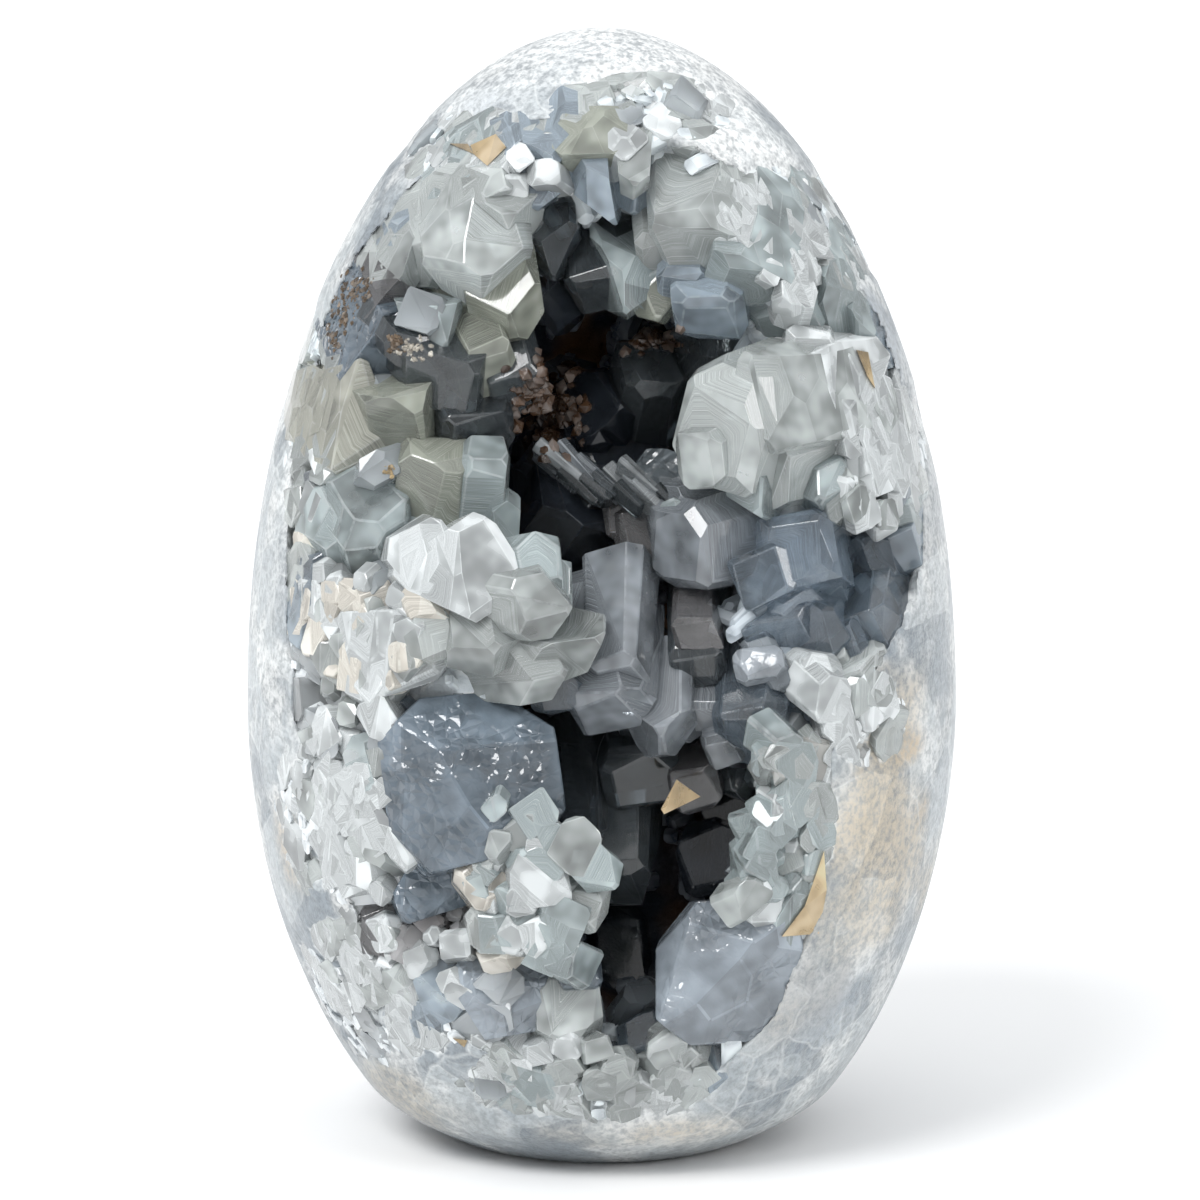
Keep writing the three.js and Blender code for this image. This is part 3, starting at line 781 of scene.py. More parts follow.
def stone_finish():
    finish, tree, shader = new_finish("ground_stone")
    link = tree.links.new
    place = add_node(tree, "ShaderNodeTexCoord").outputs["Object"]
    deep = attribute(tree, "depth")
    broad = noise_node(tree, place, BROAD_SIZE, BROAD_DETAIL, BROAD_ROUGH)
    moved = vector_node(tree, "ADD", place, vector_node(tree, "MULTIPLY", broad["Color"], CELL_BEND))
    large = use_group(tree, CELLS, moved, **LARGE_CELLS)
    small = use_group(tree, CELLS, moved, **SMALL_CELLS)
    milk = use_group(tree, MILK, place, **STONE_MILK)
    sugar = use_group(tree, FROST, place, **SUGAR)["Grain"]

    def part(value, share):
        return math_node(tree, "MULTIPLY", value, share)

    cells = math_node(tree, "ADD", part(large["Tone"], LARGE_TONE), part(small["Tone"], SMALL_TONE))
    tone = math_node(tree, "ADD", cells, part(broad["Fac"], BROAD_TONE))
    colour = mix_colours(tree, ramp_range(tree, tone, 0.4, 1.0), STONE_BLUE, STONE_PALE)
    grainy = part(milk["Mask"], ramp_range(tree, sugar, SUGAR_LOW, 0.6, 0.45, 1.0))
    colour = mix_colours(tree, grainy, colour, STONE_WHITE)
    for centre, reach, share, stain in STAINS:
        middle = on_surface(*centre)
        blot = use_group(tree, PATCH, place, Rag=broad["Fac"], Centre=middle, Reach=reach)["Mask"]
        speckle = part(blot, ramp_range(tree, sugar, SUGAR_LOW, 0.65, SPECKLE_LEAST * share, share))
        colour = mix_colours(tree, speckle, colour, stain)
    cell_light = ramp_range(tree, tone, 0.35, 1.0, 0.84, 1.06)
    level = part(cell_light, ramp_range(tree, sugar, SUGAR_LOW, 0.68, 0.8, 1.12))
    seam = math_node(tree, "MAXIMUM", part(large["Seam"], LARGE_SEAM), part(small["Seam"], SMALL_SEAM))
    seam = math_node(tree, "MAXIMUM", seam, part(milk["Veil"], CRACK_SEAM))
    seam = part(seam, ramp_range(tree, broad["Fac"], 0.44, 0.58))
    colour = mix_colours(tree, seam, scaled(tree, colour, level), SEAM_WHITE)
    zone = attribute(tree, "tint", "Color")
    colour = mix_colours(tree, ramp_range(tree, deep, ZONE_FROM, ZONE_TO), colour, zone)
    colour = mix_colours(tree, attribute(tree, "root"), colour, ROOT_WHITE)
    # Deep in the hollow the wall fades to painted shade, patched with rust.
    dark = mix_colours(tree, ramp_range(tree, broad["Fac"], 0.43, 0.56), HOLLOW_PAINTED_SHADE, HOLLOW_RUST)
    colour = mix_colours(tree, ramp_range(tree, deep, DEEP_FROM, DEEP_TO), colour, dark)
    link(colour, shader.inputs["Base Color"])
    link(math_node(tree, "ADD", part(milk["Mask"], MILK_MATT), STONE_MATT), shader.inputs["Roughness"])
    values = {"Strength": SUGAR_RELIEF, "Distance": SUGAR_HEIGHT, "Height": sugar}
    link(add_node(tree, "ShaderNodeBump", values).outputs["Normal"], shader.inputs["Normal"])
    return finish


egg_mesh.materials.clear()
egg_mesh.materials.append(stone_finish())
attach(ground_egg, "root")
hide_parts("stone_egg")
print("egg finished")

# %% [markdown]
# ## The large crystals
# Each large crystal is the space behind a set of flat faces: a prism with cut corners and a free
# end that is a block, a point, a chisel, a dome or a break. The crystals of the crown hang down, those
# of the sides lean inwards, and those of the floor stand up. A row holds the place of the free end
# across and up, its depth behind the ground surface, turn, rise, spin, width, thickness, habit and look.

# %% Table of the large crystals
CROWN = [
    (-1.2, 119.7, 3.6, 0, -62, 8, 8.9, 8, "dome", "olive"),
    (-18.6, 112.9, 4.6, 10, -50, 20, 12.5, 10, "point", "ice"),
    (-7.8, 114.6, 5, 5, -55, 12, 9, 8, "point", "blue"),
    (1.7, 112.9, 6, 5, -60, 0, 8.5, 8, "point", "blue"),
    (3.9, 116.2, 3, 0, -62, 0, 3.2, 6, "chisel", "pale"),
    (11.3, 109.3, 5, -3, -44, 4, 11, 10, "dome", "pale"),
    (18.2, 105.2, 4.5, -4, -52, -8, 10.5, 9, "dome", "ice"),
    (-14.2, 104.8, 4, 12, -50, -8, 12, 9, "chisel", "pale"),
    (-22.5, 109.3, 3.5, 15, -45, 16, 6.8, 7, "point", "blue"),
    (-11, 100.4, 8, 15, -48, 5, 8.5, 8, "chisel", "olive"),
    (-5.8, 106.2, 12, 8, -50, 14, 7, 7, "point", "dark"),
    (2.9, 102.2, 12, -2, -48, 6, 7.5, 8, "point", "ice"),
    (1, 104.5, 15, 0, -50, 20, 9, 7, "block", "dark"),
    (6.8, 101.2, 13, 0, -45, 30, 5.5, 6, "point", "olive"),
    (12.8, 101, 10, -4, -52, 6, 8.4, 8, "dome", "blue"),
    (22, 100.1, 9, -15, -45, 24, 8, 7, "block", "ice"),
    (27.2, 101.7, 5, -12, -40, 12, 8.5, 9, "chisel", "ice"),
    (34, 100, 0.5, 6, -6, 20, 8, 9, "block", "blue"),
    (21, 112.4, 0.5, 0, -10, 10, 4, 3.5, "block", "frost"),
]
LEFT_WALL = [
    (-18.6, 97.8, 5, 18, -45, 10, 8, 8, "point", "ice"),
    (-26.9, 97, 4, 12, -35, 8, 11, 9, "broken", "slate"),
    (-26.3, 102.9, 2, 8, -30, 20, 7, 6, "block", "taupe"),
    (-24, 105.2, 2.5, 15, -40, 12, 8, 7, "chisel", "pale"),
    (-15.5, 92.2, 8, 32, -35, -6, 12, 7, "chisel", "dark"),
    (-13.3, 94.4, 10, 25, -40, 12, 6.5, 8, "block", "olive"),
    (-10.1, 91.9, 14, 20, -45, 6, 6.5, 8, "block", "dark"),
    (-14.8, 86.8, 13, 25, -40, 0, 9, 7, "block", "dark"),
    (-31.7, 88.7, 0.8, 4, -2, 24, 11.5, 11.5, "dome", "straw"),
    (-21.8, 87.4, 7, 30, -35, 8, 9, 9, "chisel", "olive"),
    (-19.9, 85.5, 8, 8, 55, 4, 8.6, 8, "dome", "olive"),
    (-13.8, 85.4, 10, 10, 55, -4, 5.5, 7, "block", "ice"),
    (-11.4, 79.8, 12, 10, 50, 0, 3.2, 5, "chisel", "ice"),
    (-29.2, 79.8, 3, -12, 35, 35, 9.5, 11, "block", "ice"),
    (-16, 70.6, 0.8, 8, 4, 34, 12, 11, "block", "frost"),
    (-36, 84.6, 0.6, -10, 0, 10, 5, 5, "point", "pale"),
    (-33.3, 81, 4, -4, 0, 15, 6, 5, "block", "steel"),
    (-35.2, 76, 1, -12, 20, 8, 6, 8, "point", "sand"),
    (-33.3, 69.8, 3, -6, 0, 20, 8.5, 6.5, "block", "slate"),
    (-27.5, 66.5, 2, 0, 0, 12, 5, 4.5, "block", "sand"),
    (-5, 71.5, 6, 50, 12, 6, 8, 7, "chisel", "ice"),
    (-0.2, 62.7, 4.5, 50, -8, 10, 10, 11.5, "point", "pale"),
    (-12.9, 61.3, 1.5, 15, -12, 8, 9, 8, "point", "pale"),
    (-25, 61, 1, 2, -8, 14, 11.5, 9.5, "block", "frost"),
    (-26.3, 54.3, 2, 6, -35, 30, 6, 5, "point", "pale"),
    (-37, 66, 0.4, -16, 0, 12, 5.5, 9, "block", "blue"),
    (-5.3, 55.6, 9, 8, -20, 12, 6, 4.6, "block", "slate"),
    (-20.5, 63, 1.6, 4, 6, 20, 6, 6, "block", "pale"),
]
BACK_WALL = [
    (2.3, 87.4, 30, 30, 35, 12, 14, 20, "block", "navy"),
    (0.8, 93.4, 27, 15, 45, 20, 8, 9, "chisel", "navy"),
    (6.4, 96.3, 25, 10, 40, 10, 7, 9, "block", "dark"),
    (17.9, 100.9, 18, 35, 35, 15, 8, 8, "chisel", "dark"),
    (6.8, 81, 23, -10, 20, 60, 10, 8, "broken", "dark"),
    (5.2, 75.3, 21, -8, 4, 10, 7, 9, "dome", "taupe"),
    (9, 73.4, 13, -50, -12, 8, 10, 10.5, "dome", "steel"),
    (8.2, 77.5, 14, -45, 0, 20, 3.4, 3.4, "block", "ice"),
    (0.8, 52.8, 11, -4, -56, 24, 9.8, 9, "block", "steel"),
    (11.9, 62.7, 11, -6, -30, 8, 6.5, 4.4, "block", "taupe"),
    (11.6, 58.4, 13, -4, -40, 10, 6.5, 6, "block", "dark"),
    (7.4, 49, 11, 0, -52, 12, 8, 7.6, "chisel", "steel"),
    (14.8, 48.2, 12, -6, -40, 22, 4.6, 5, "block", "steel"),
    (12.9, 52.4, 13, -4, -40, 6, 4.8, 5, "block", "steel"),
    (11.3, 43.5, 15, -4, -30, 16, 6, 6, "block", "taupe"),
    (16.1, 43.5, 14, -10, -30, 30, 5, 5, "point", "dark"),
    (1.3, 31.4, 16, 0, -58, 8, 10, 9, "dome", "dark"),
    (4.9, 44.8, 17, 4, -30, 14, 9, 8, "block", "dark"),
    (-4.4, 41.6, 22, 8, 4, -4, 6, 14, "broken", "navy"),
    (13.5, 35.2, 20, -8, 0, 12, 8, 9, "block", "navy"),
    (2.4, 20.6, 27, -4, 8, 4, 7, 17, "block", "navy"),
]
RIGHT_WALL = [
    (14, 87.4, 5, -35, -10, -14, 11, 13.5, "block", "pale"),
    (11.3, 83.6, 7, -38, -18, 10, 6.5, 7, "block", "pale"),
    (19.1, 77.5, 5, -15, -45, 16, 8.8, 8, "point", "ice"),
    (27.5, 91.9, 0.6, -4, -8, -12, 10.5, 11.5, "block", "frost"),
    (32.4, 83.8, 0.8, 6, -6, 20, 12, 8.5, "broken", "frost"),
    (28, 76.3, 4, -6, -48, 18, 6.4, 6.4, "point", "pale"),
    (37.6, 77, 2, 8, -20, 8, 8.5, 5, "dome", "ice"),
    (37.3, 72.7, 4, 6, -25, 12, 9, 6.4, "block", "blue"),
    (28, 74.9, 6, -8, 35, 8, 10.5, 9.5, "point", "slate"),
    (31.6, 60.7, 5.5, -8, -35, 30, 10.5, 10.5, "block", "slate"),
    (24.6, 62, 8, -14, -15, 24, 9, 8.5, "block", "slate"),
    (17, 63.9, 9, -35, -10, 0, 9.5, 8, "point", "slate"),
    (18.3, 49.9, 9, -10, -48, 12, 8.5, 9.5, "block", "slate"),
    (18.8, 59.6, 7.6, -10, 20, 8, 6, 4, "broken", "steel"),
    (23.3, 53.7, 8, -10, -30, 20, 8.5, 8, "block", "slate"),
    (41.2, 68.1, 0.3, 20, 0, 6, 6, 9.5, "block", "frost"),
    (31.9, 55.6, 1.5, 2, -28, 24, 7.4, 7, "block", "pale"),
    (37, 58, 0.8, 12, -10, 16, 6.5, 6.5, "block", "frost"),
    (21.8, 44.2, 3, -16, 4, 8, 7.8, 12, "point", "ice"),
    (18.6, 39, 7, -18, 0, 25, 5.4, 6, "block", "ice"),
    (21.2, 32.7, 4, -14, 0, 12, 7, 7, "block", "ice"),
    (22.5, 35.6, 3, -8, 0, 30, 5, 4.6, "block", "pale"),
    (27.6, 47.6, 0.8, 0, 0, 18, 6.5, 7, "broken", "frost"),
]
LOWER_LEFT = [
    (-15.5, 45.4, 1.6, 6, 6, 10, 20, 19, "broken", "slate"),
    (-27.7, 47.7, 1, -4, 0, 16, 6.8, 6.4, "block", "ice"),
    (-25.6, 52.4, 5, 0, -10, 8, 7, 6, "block", "slate"),
    (-20.2, 32.4, 5, 4, 4, 20, 11, 7, "broken", "slate"),
    (-8.5, 41.6, 2, 10, 30, 24, 6.4, 6.4, "point", "pale"),
    (-7.2, 34, 1, 12, 4, 10, 7, 7.4, "block", "frost"),
    (-4.3, 27.8, 2, 14, -10, 20, 6.6, 6.6, "point", "pale"),
    (-14.2, 33.4, 1.4, 0, 6, 35, 5.6, 6, "block", "sand"),
    (-12.7, 28, 1.2, 4, 0, 15, 6.4, 5.6, "block", "pale"),
    (-11.8, 24, 1, 4, -6, 25, 5.6, 4.8, "point", "sand"),
    (-26.4, 27, 2.5, -2, 4, 12, 6.8, 6, "block", "taupe"),
    (-31, 27.4, 1, -8, 0, 28, 5.4, 5.4, "point", "pale"),
    (-27, 40.5, 0.8, -4, 4, 22, 8, 7.4, "block", "frost"),
    (-31.5, 36, 0.6, -8, 0, 8, 7, 8, "block", "frost"),
    (-23.4, 38.4, 1.5, 0, 6, 32, 6.2, 6.2, "block", "frost"),
    (-29, 31.8, 1, -4, 0, 18, 6.2, 5.6, "point", "frost"),
    (-12.4, 19, 2, 4, 4, 8, 12, 9, "broken", "blue"),
    (-19.2, 20, 1.6, 0, 6, 20, 7, 8, "block", "blue"),
    (-27.5, 20.5, 0.8, -4, 6, 14, 6.4, 6, "block", "pale"),
    (-22, 15.5, 0.8, -2, 10, 30, 6.4, 6.4, "point", "frost"),
]
FLOOR_ROWS = [
    (-3.8, 18, 4, 10, 8, 8, 8, 8.6, "block", "pale"),
    (-3, 22.4, 6, 8, 20, 4, 6, 4.6, "block", "slate"),
    (-3.4, 11.7, 7, 6, 20, 0, 7, 5.6, "block", "slate"),
    (4.9, 14.2, 9, 0, 32, 10, 6, 5.4, "block", "slate"),
    (1.3, 10.8, 5, 0, 36, 22, 5.4, 6, "chisel", "steel"),
    (-12.2, 12.2, 0.8, 2, 8, 18, 8, 8, "block", "frost"),
    (-7.6, 9.8, 1, 2, 22, 40, 7.2, 7.2, "dome", "ice"),
    (-2.4, 6.6, 1.5, 0, 42, 12, 5.8, 6, "point", "pale"),
    (4.4, 9.5, 2, 0, 42, 26, 4.8, 5, "point", "frost"),
    (7.4, 11, 1, -5, 45, 8, 6.4, 6.4, "point", "pale"),
    (14.8, 21.9, 1, -12, 4, 6, 16.5, 17, "broken", "blue"),
    (18.4, 11.6, 0.6, 2, 10, 18, 12, 9.5, "block", "blue"),
    (26, 23.6, 0.4, 4, 6, 12, 8.5, 10, "block", "blue"),
    (-16, 8.6, 0.6, -2, 12, 24, 7, 6.4, "block", "pale"),
]
CRYSTALS = CROWN + LEFT_WALL + BACK_WALL + RIGHT_WALL + LOWER_LEFT + FLOOR_ROWS

LOOKS = {
    "pale": ("milky", (0.79, 0.845, 0.83)),
    "ice": ("milky", (0.66, 0.76, 0.77)),
    "frost": ("frosted", (0.545, 0.575, 0.58)),
    "sand": ("frosted", (0.60, 0.565, 0.50)),
    "straw": ("milky", (0.76, 0.76, 0.66)),
    "olive": ("milky", (0.57, 0.60, 0.51)),
    "blue": ("milky", (0.51, 0.61, 0.70)),
    "steel": ("milky", (0.44, 0.48, 0.52)),
    "slate": ("clear", (0.38, 0.46, 0.54)),
    "taupe": ("clear", (0.42, 0.41, 0.42)),
    "silver": ("milky", (0.52, 0.56, 0.58)),
    # The dark and navy tints are painted shade: they darken the crystals that stand deep in the hollow.
    "dark": ("clear", (0.20, 0.23, 0.25)),
    "navy": ("clear", (0.07, 0.085, 0.11)),
}
BROKEN_TINTS = {"slate": (0.18, 0.225, 0.27), "blue": (0.36, 0.41, 0.46), "steel": (0.42, 0.46, 0.50)}
print("large crystals:", len(CRYSTALS))

# %% Faces of a crystal
CORNER_KEEP, CORNER_GIVE = 0.88, 0.22
CORNER_FACES = 50
SIDE_TAPER, SIDE_WOBBLE = 0.05, 0.14
TIP_WOBBLE = 0.3
HABITS = {
    "block": ((40, 0.70),),
    "dome": ((24, 0.62), (50, 0.82)),
    "point": ((50, 0.10),),
}
BREAKS = ((28, 0.2, 1, 0.42), (34, -1, 0.3, 0.62), (30, 0.5, -1, 0.5), (52, 1, -0.2, 0.86))
CHISEL_SLOPE, CHISEL_KEEP = 42, 0.08
CHISEL_END_SLOPE, CHISEL_END_KEEP = 32, 0.55
SQUARE = ((1, 0), (-1, 0), (0, 1), (0, -1))
DIAGONAL = ((0.7, 0.7), (-0.7, 0.7), (-0.7, -0.7), (0.7, -0.7))
SAME_CORNER = 0.02


def wobble(crystal, face):
    """A repeatable irregularity between -0.5 and 0.5 for one face of one crystal."""
    value = math.sin(crystal * 12.9898 + face * 78.233) * 43758.5453
    return value - math.floor(value) - 0.5


def crystal_faces(crystal, width, thickness, length, habit):
    """Unit normals and distances of the faces, with the axis along +Z and the free end at 0."""
    faces = []

    def face(x, y, z, keep, give):
        k = len(faces)
        normal = Vector((x + give * wobble(crystal, 3 * k), y + give * wobble(crystal, 3 * k + 1), z))
        normal.normalize()
        reach = (abs(normal.x) * width + abs(normal.y) * thickness) / 2
        faces.append((normal, keep * reach * (1 + give * wobble(crystal, 3 * k + 2))))

    def slope(degrees, x, y, keep):
        tilt = math.radians(degrees)
        face(x * math.sin(tilt), y * math.sin(tilt), math.cos(tilt), keep, TIP_WOBBLE)

    for x, y in SQUARE:
        face(x, y, SIDE_TAPER, 1, SIDE_WOBBLE)
    for x, y in DIAGONAL:
        keep = CORNER_KEEP + CORNER_GIVE * wobble(crystal, CORNER_FACES + len(faces))
        face(x, y, SIDE_TAPER, keep, SIDE_WOBBLE)
    if habit == "chisel":
        for x in (1, -1):
            slope(CHISEL_SLOPE, x, 0, CHISEL_KEEP)
        for y in (1, -1):
            slope(CHISEL_END_SLOPE, 0, y, CHISEL_END_KEEP)
    elif habit == "broken":
        for degrees, x, y, keep in BREAKS:
            slope(degrees, x, y, keep)
    else:
        corners = DIAGONAL if habit == "point" else SQUARE
        for degrees, keep in HABITS[habit]:
            for x, y in corners:
                slope(degrees, x, y, keep)
    faces.append((Vector((0, 0, 1)), 0.0))
    faces.append((Vector((0, 0, -1)), length))
    return faces


def convex_corners(faces):
    """Corners of the convex solid that lies behind all of the faces."""
    n = np.array([tuple(normal) for normal, _ in faces])
    d = np.array([distance for _, distance in faces])
    count = len(faces)
    triples = np.array([(i, j, k) for i in range(count) for j in range(i + 1, count)
                        for k in range(j + 1, count)])
    system = n[triples]
    sound = np.abs(np.linalg.det(system)) > 1e-4
    corners = np.linalg.solve(system[sound], d[triples[sound]][..., None])[..., 0]
    corners = corners[(corners @ n.T <= d + 1e-6).all(1)]
    kept = []
    for corner in corners:
        if all(np.abs(corner - other).max() > SAME_CORNER for other in kept):
            kept.append(corner)
    return kept


# %% Place, root and cuts of a crystal
LONGEST, SHORTEST_SHARE = 24.0, 0.8
SUNK = 1.0
TIP_BACK = 0.5
CLIP_ROUNDS = 7
CLIP_SLACK = 0.12
SKIN_INSET = 0.45
LOWEST = FOOT_HEIGHT - 1.0
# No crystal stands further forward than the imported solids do.
FRONT_MOST = CAD_BOX[0][1] / MM + 0.1
FRONT_SPREAD = 0.6
CHIP_ZONE, CHIP_LIFT = 6.0, 0.4
CHIP_JITTER, CHIP_SIZES = 0.5, (0.3, 1.0)
chance = random.Random(41)
stone_tree = ray_tree(frame["nodes"]["stone_egg"].data)


def place_of(across, up, depth, turn, rise, spin):
    """The frame of a crystal in mm: its free end at the origin, its axis along Z."""
    t, r, s = (math.radians(a) for a in (turn, rise, spin))
    tip = from_mouth(across, up, surface_toward(across, up) - depth)
    axis = from_mouth(math.sin(t) * math.cos(r), math.sin(r), math.cos(t) * math.cos(r)).normalized()
    side = (ACROSS - axis * axis.x).normalized()
    side = Matrix.Rotation(s, 3, axis) @ side
    front = axis.cross(side)
    turned = Matrix((side, front, axis)).transposed().to_4x4()
    return Matrix.Translation(tip) @ turned


def root_length(place, width, thickness):
    """Length of a crystal from its free end to the wall behind it."""
    tip = place.translation * MM
    axis = place.to_3x3() @ Vector((0, 0, 1))
    hit = stone_tree.ray_cast(tip - axis * TIP_BACK * MM, -axis)
    reach = hit[3] / MM + SUNK if hit[0] is not None else 0.0
    return min(LONGEST, max(reach, SHORTEST_SHARE * max(width, thickness)))


def clip_to_egg(faces, place):
    """The same faces with flat cuts where the crystal would stand out of the egg or its foot."""
    turned = place.to_3x3().transposed()
    down = turned @ Vector((0, 0, -1))
    forward = turned @ Vector((0, -1, 0))
    front = place.translation.y - FRONT_MOST - chance.uniform(0, FRONT_SPREAD)
    faces = faces + [(down, place.translation.z - LOWEST), (forward, front)]
    for _ in range(CLIP_ROUNDS):
        corners = convex_corners(faces)
        spots = np.array([tuple(place @ Vector(c)) for c in corners])
        depth_there, out = egg_depth(spots)
        worst = int(depth_there.argmin())
        if depth_there[worst] > SKIN_INSET - CLIP_SLACK:
            break
        normal = turned @ Vector(out[worst])
        distance = normal.dot(Vector(corners[worst])) + depth_there[worst] - SKIN_INSET
        faces = faces + [(normal, distance)]
    return faces


def chip_faces(faces, count, size):
    """The same faces with a few corners of the free end knocked off."""
    corners = [Vector(c) for c in convex_corners(faces)]
    top = [c for c in corners if c.z > -CHIP_ZONE]
    for corner in chance.sample(top, min(count, len(top))):
        jitter = Vector([chance.uniform(-CHIP_JITTER, CHIP_JITTER) for _ in range(3)])
        normal = (corner.normalized() + Vector((0, 0, CHIP_LIFT)) + jitter).normalized()
        faces = faces + [(normal, normal.dot(corner) - chance.uniform(*CHIP_SIZES) * size)]
    return faces


# %% Mesh of a crystal
EDGE_ROUND = 0.2
FLAT_ANGLE = math.radians(1)
# Each facet's tint is scaled at random: painted shading that stands in for the light and dark that
# refraction gives each facet.
FACET_PAINTED_SHADING = (0.7, 1.15)
LOOK_SHADES = (0.9, 1.08)


def hull_bmesh(faces):
    """The closed solid behind the faces, in its own frame in mm, with flat faces merged."""
    single = bmesh.new()
    for corner in convex_corners(faces):
        single.verts.new(corner)
    bmesh.ops.convex_hull(single, input=single.verts)
    loose = [v for v in single.verts if not v.link_faces]
    bmesh.ops.delete(single, geom=loose, context="VERTS")
    bmesh.ops.dissolve_limit(single, angle_limit=FLAT_ANGLE, verts=single.verts, edges=single.edges)
    return single


def rounded_crystal(faces, rounding):
    """A crystal with narrow worn edges; returns its bmesh and the set of worn faces, which the finish
    paints lighter as a highlight.
    """
    single = hull_bmesh(faces)
    made = bmesh.ops.bevel(single, geom=single.edges, offset=rounding, segments=1, affect="EDGES",
                           clamp_overlap=True)
    bmesh.ops.recalc_face_normals(single, faces=single.faces)
    return single, set(made["faces"])


def new_crust():
    """An empty bmesh with the attributes that the crystal finishes read."""
    crust = bmesh.new()
    layers = {
        "grain": crust.verts.layers.float_vector.new("grain"),
        "tint": crust.loops.layers.float_color.new("tint"),
        "edge": crust.loops.layers.float.new("edge"),
    }
    return crust, layers


def brighter(tint, change):
    """A colour made lighter or darker, and no lighter than white."""
    return tuple(min(1.0, c * change) for c in tint)


def add_crystal(crust, layers, single, worn_and_highlit, place, tint, finish):
    """Copies one crystal into the crust, with its colour, painted shading on each facet, grain and worn
    edges.
    """
    offset = Vector([chance.uniform(-1, 1) for _ in range(3)])
    verts = {}
    for vert in single.verts:
        copy = crust.verts.new((place @ vert.co) * MM)
        copy[layers["grain"]] = vert.co * MM + offset
        verts[vert] = copy
    for face in single.faces:
        copy = crust.faces.new([verts[v] for v in face.verts])
        copy.material_index = finish
        # Painted shading: each facet that is not a worn edge gets a random brightness.
        shade = 1.0 if face in worn_and_highlit else chance.uniform(*FACET_PAINTED_SHADING)
        for loop in copy.loops:
            loop[layers["edge"]] = 1.0 if face in worn_and_highlit else 0.0
            loop[layers["tint"]] = (*brighter(tint, shade), 1.0)
    single.free()


def tone_of(look):
    """The finish of a look, and its tint with a slight change of brightness."""
    finish, tint = LOOKS[look]
    return FINISH_ORDER.index(finish), brighter(tint, chance.uniform(*LOOK_SHADES))


def mesh_from(crust, name):
    """A plain mesh from a crust's bmesh."""
    mesh = bpy.data.meshes.new(name)
    crust.to_mesh(mesh)
    crust.free()
    return mesh


def crust_piece(name, mesh):
    """A piece of the crust from its mesh; it rides on the egg."""
    piece = bpy.data.objects.new(name, mesh)
    scene.collection.objects.link(piece)
    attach(piece, "root")
    print(name, "faces:", len(mesh.polygons))
    return piece


def finished_piece(crust, name):
    """A piece of the crust from its bmesh, with all the crystal finishes."""
    mesh = mesh_from(crust, name)
    for finish in FINISHES.values():
        mesh.materials.append(finish)
    return crust_piece(name, mesh)


# %% [markdown]
# ## Crystals that grow together
# Large crystals carry one or two smaller ones in parallel growth, clusters are filled with small
# crystals at random, and thin plates make a striated ledge in the hollow. Light that meets a second
# see-through crystal inside the first one gets lost, so all crystals of one finish are joined into one
# closed mesh by a Boolean modifier.

# %% Companions, clusters and ledge
STEP_SIZES, STEP_SIDES, STEP_BACKS = (0.5, 0.8), (0.22, 0.42), (0.08, 0.5)
STEP_TILT = 4.0
CLUSTER_HABITS = ("block", "point", "dome", "chisel")
CLUSTER_SIZES, CLUSTER_SHAPES = (2.0, 5.2), (0.75, 1.2)
CLUSTER_CROWD = 1.35
CLUSTER_DEPTHS = (-1.2, 1.6)
CLUSTER_TURN, CLUSTER_LEAN, CLUSTER_SPIN = 0.8, 34, 90
CLUSTER_FRONT = 8.0
CLUSTER_LOWEST = 4.0
LEDGE_COUNT = 16
LEDGE_FROM, LEDGE_STEP, LEDGE_JITTER = (-2.5, 80.2, 23.0), (0.85, -0.15, -0.45), (0.4, 1.2, 1)
LEDGE_LEANS = ((72, 8), (-42, 5), (0, 20))
LEDGE_WIDTHS, LEDGE_THICKNESSES = (0.5, 1.5), (2.2, 4.4)
LEDGE_LOOKS = ("silver", "silver", "steel", "dark")
GAP_ROWS = [
    (23.2, 73.2, 4.2, -10, 6, 12, 9, 8.5, "dome", "slate"),
    (19.4, 70, 6.2, -14, 0, 25, 7, 6.5, "block", "slate"),
    (26.4, 79, 3.4, -6, -26, 8, 6.4, 6.4, "point", "ice"),
    (21.4, 66, 6.6, -12, -6, 30, 7.4, 7, "point", "slate"),
]


def stepped(place, width, thickness):
    """The place and size of a smaller crystal in parallel growth beside a large one."""
    size = chance.uniform(*STEP_SIZES)
    side = chance.choice((-1, 1)) * chance.uniform(*STEP_SIDES) * width
    front = chance.choice((-1, 1)) * chance.uniform(*STEP_SIDES) * thickness
    back = chance.uniform(*STEP_BACKS) * max(width, thickness)
    beside = place @ Matrix.Translation((side, front, -back))
    for axis in "XY":
        tilt = math.radians(chance.uniform(-STEP_TILT, STEP_TILT))
        beside = beside @ Matrix.Rotation(tilt, 4, axis)
    return beside, size


def cluster_rows():
    """Rows of the small crystals that stand in clusters, in the same form as the table's rows."""
    for across, up, wide, high, count, look in CLUSTERS:
        for _ in range(int(count * CLUSTER_CROWD)):
            a = across + wide * chance.uniform(-1, 1)
            u = up + high * chance.uniform(-1, 1)
            size = chance.uniform(*CLUSTER_SIZES)
            front = from_mouth(a, u, surface_toward(a, u))
            if front.dot(TOWARD) < CLUSTER_FRONT or front.z < CLUSTER_LOWEST:
                continue
            depth = chance.uniform(*CLUSTER_DEPTHS)
            turn = a * CLUSTER_TURN + chance.uniform(-1, 1) * CLUSTER_LEAN
            rise = chance.uniform(-1, 1) * CLUSTER_LEAN
            spin = chance.uniform(0, CLUSTER_SPIN)
            thickness = size * chance.uniform(*CLUSTER_SHAPES)
            habit = chance.choice(CLUSTER_HABITS)
            yield (a, u, depth, turn, rise, spin, size, thickness, habit,
                   chance.choice((look, look, "frost", "pale")))


def around(middle, spread):
    """A random value round a middle one."""
    return middle + chance.uniform(-spread, spread)


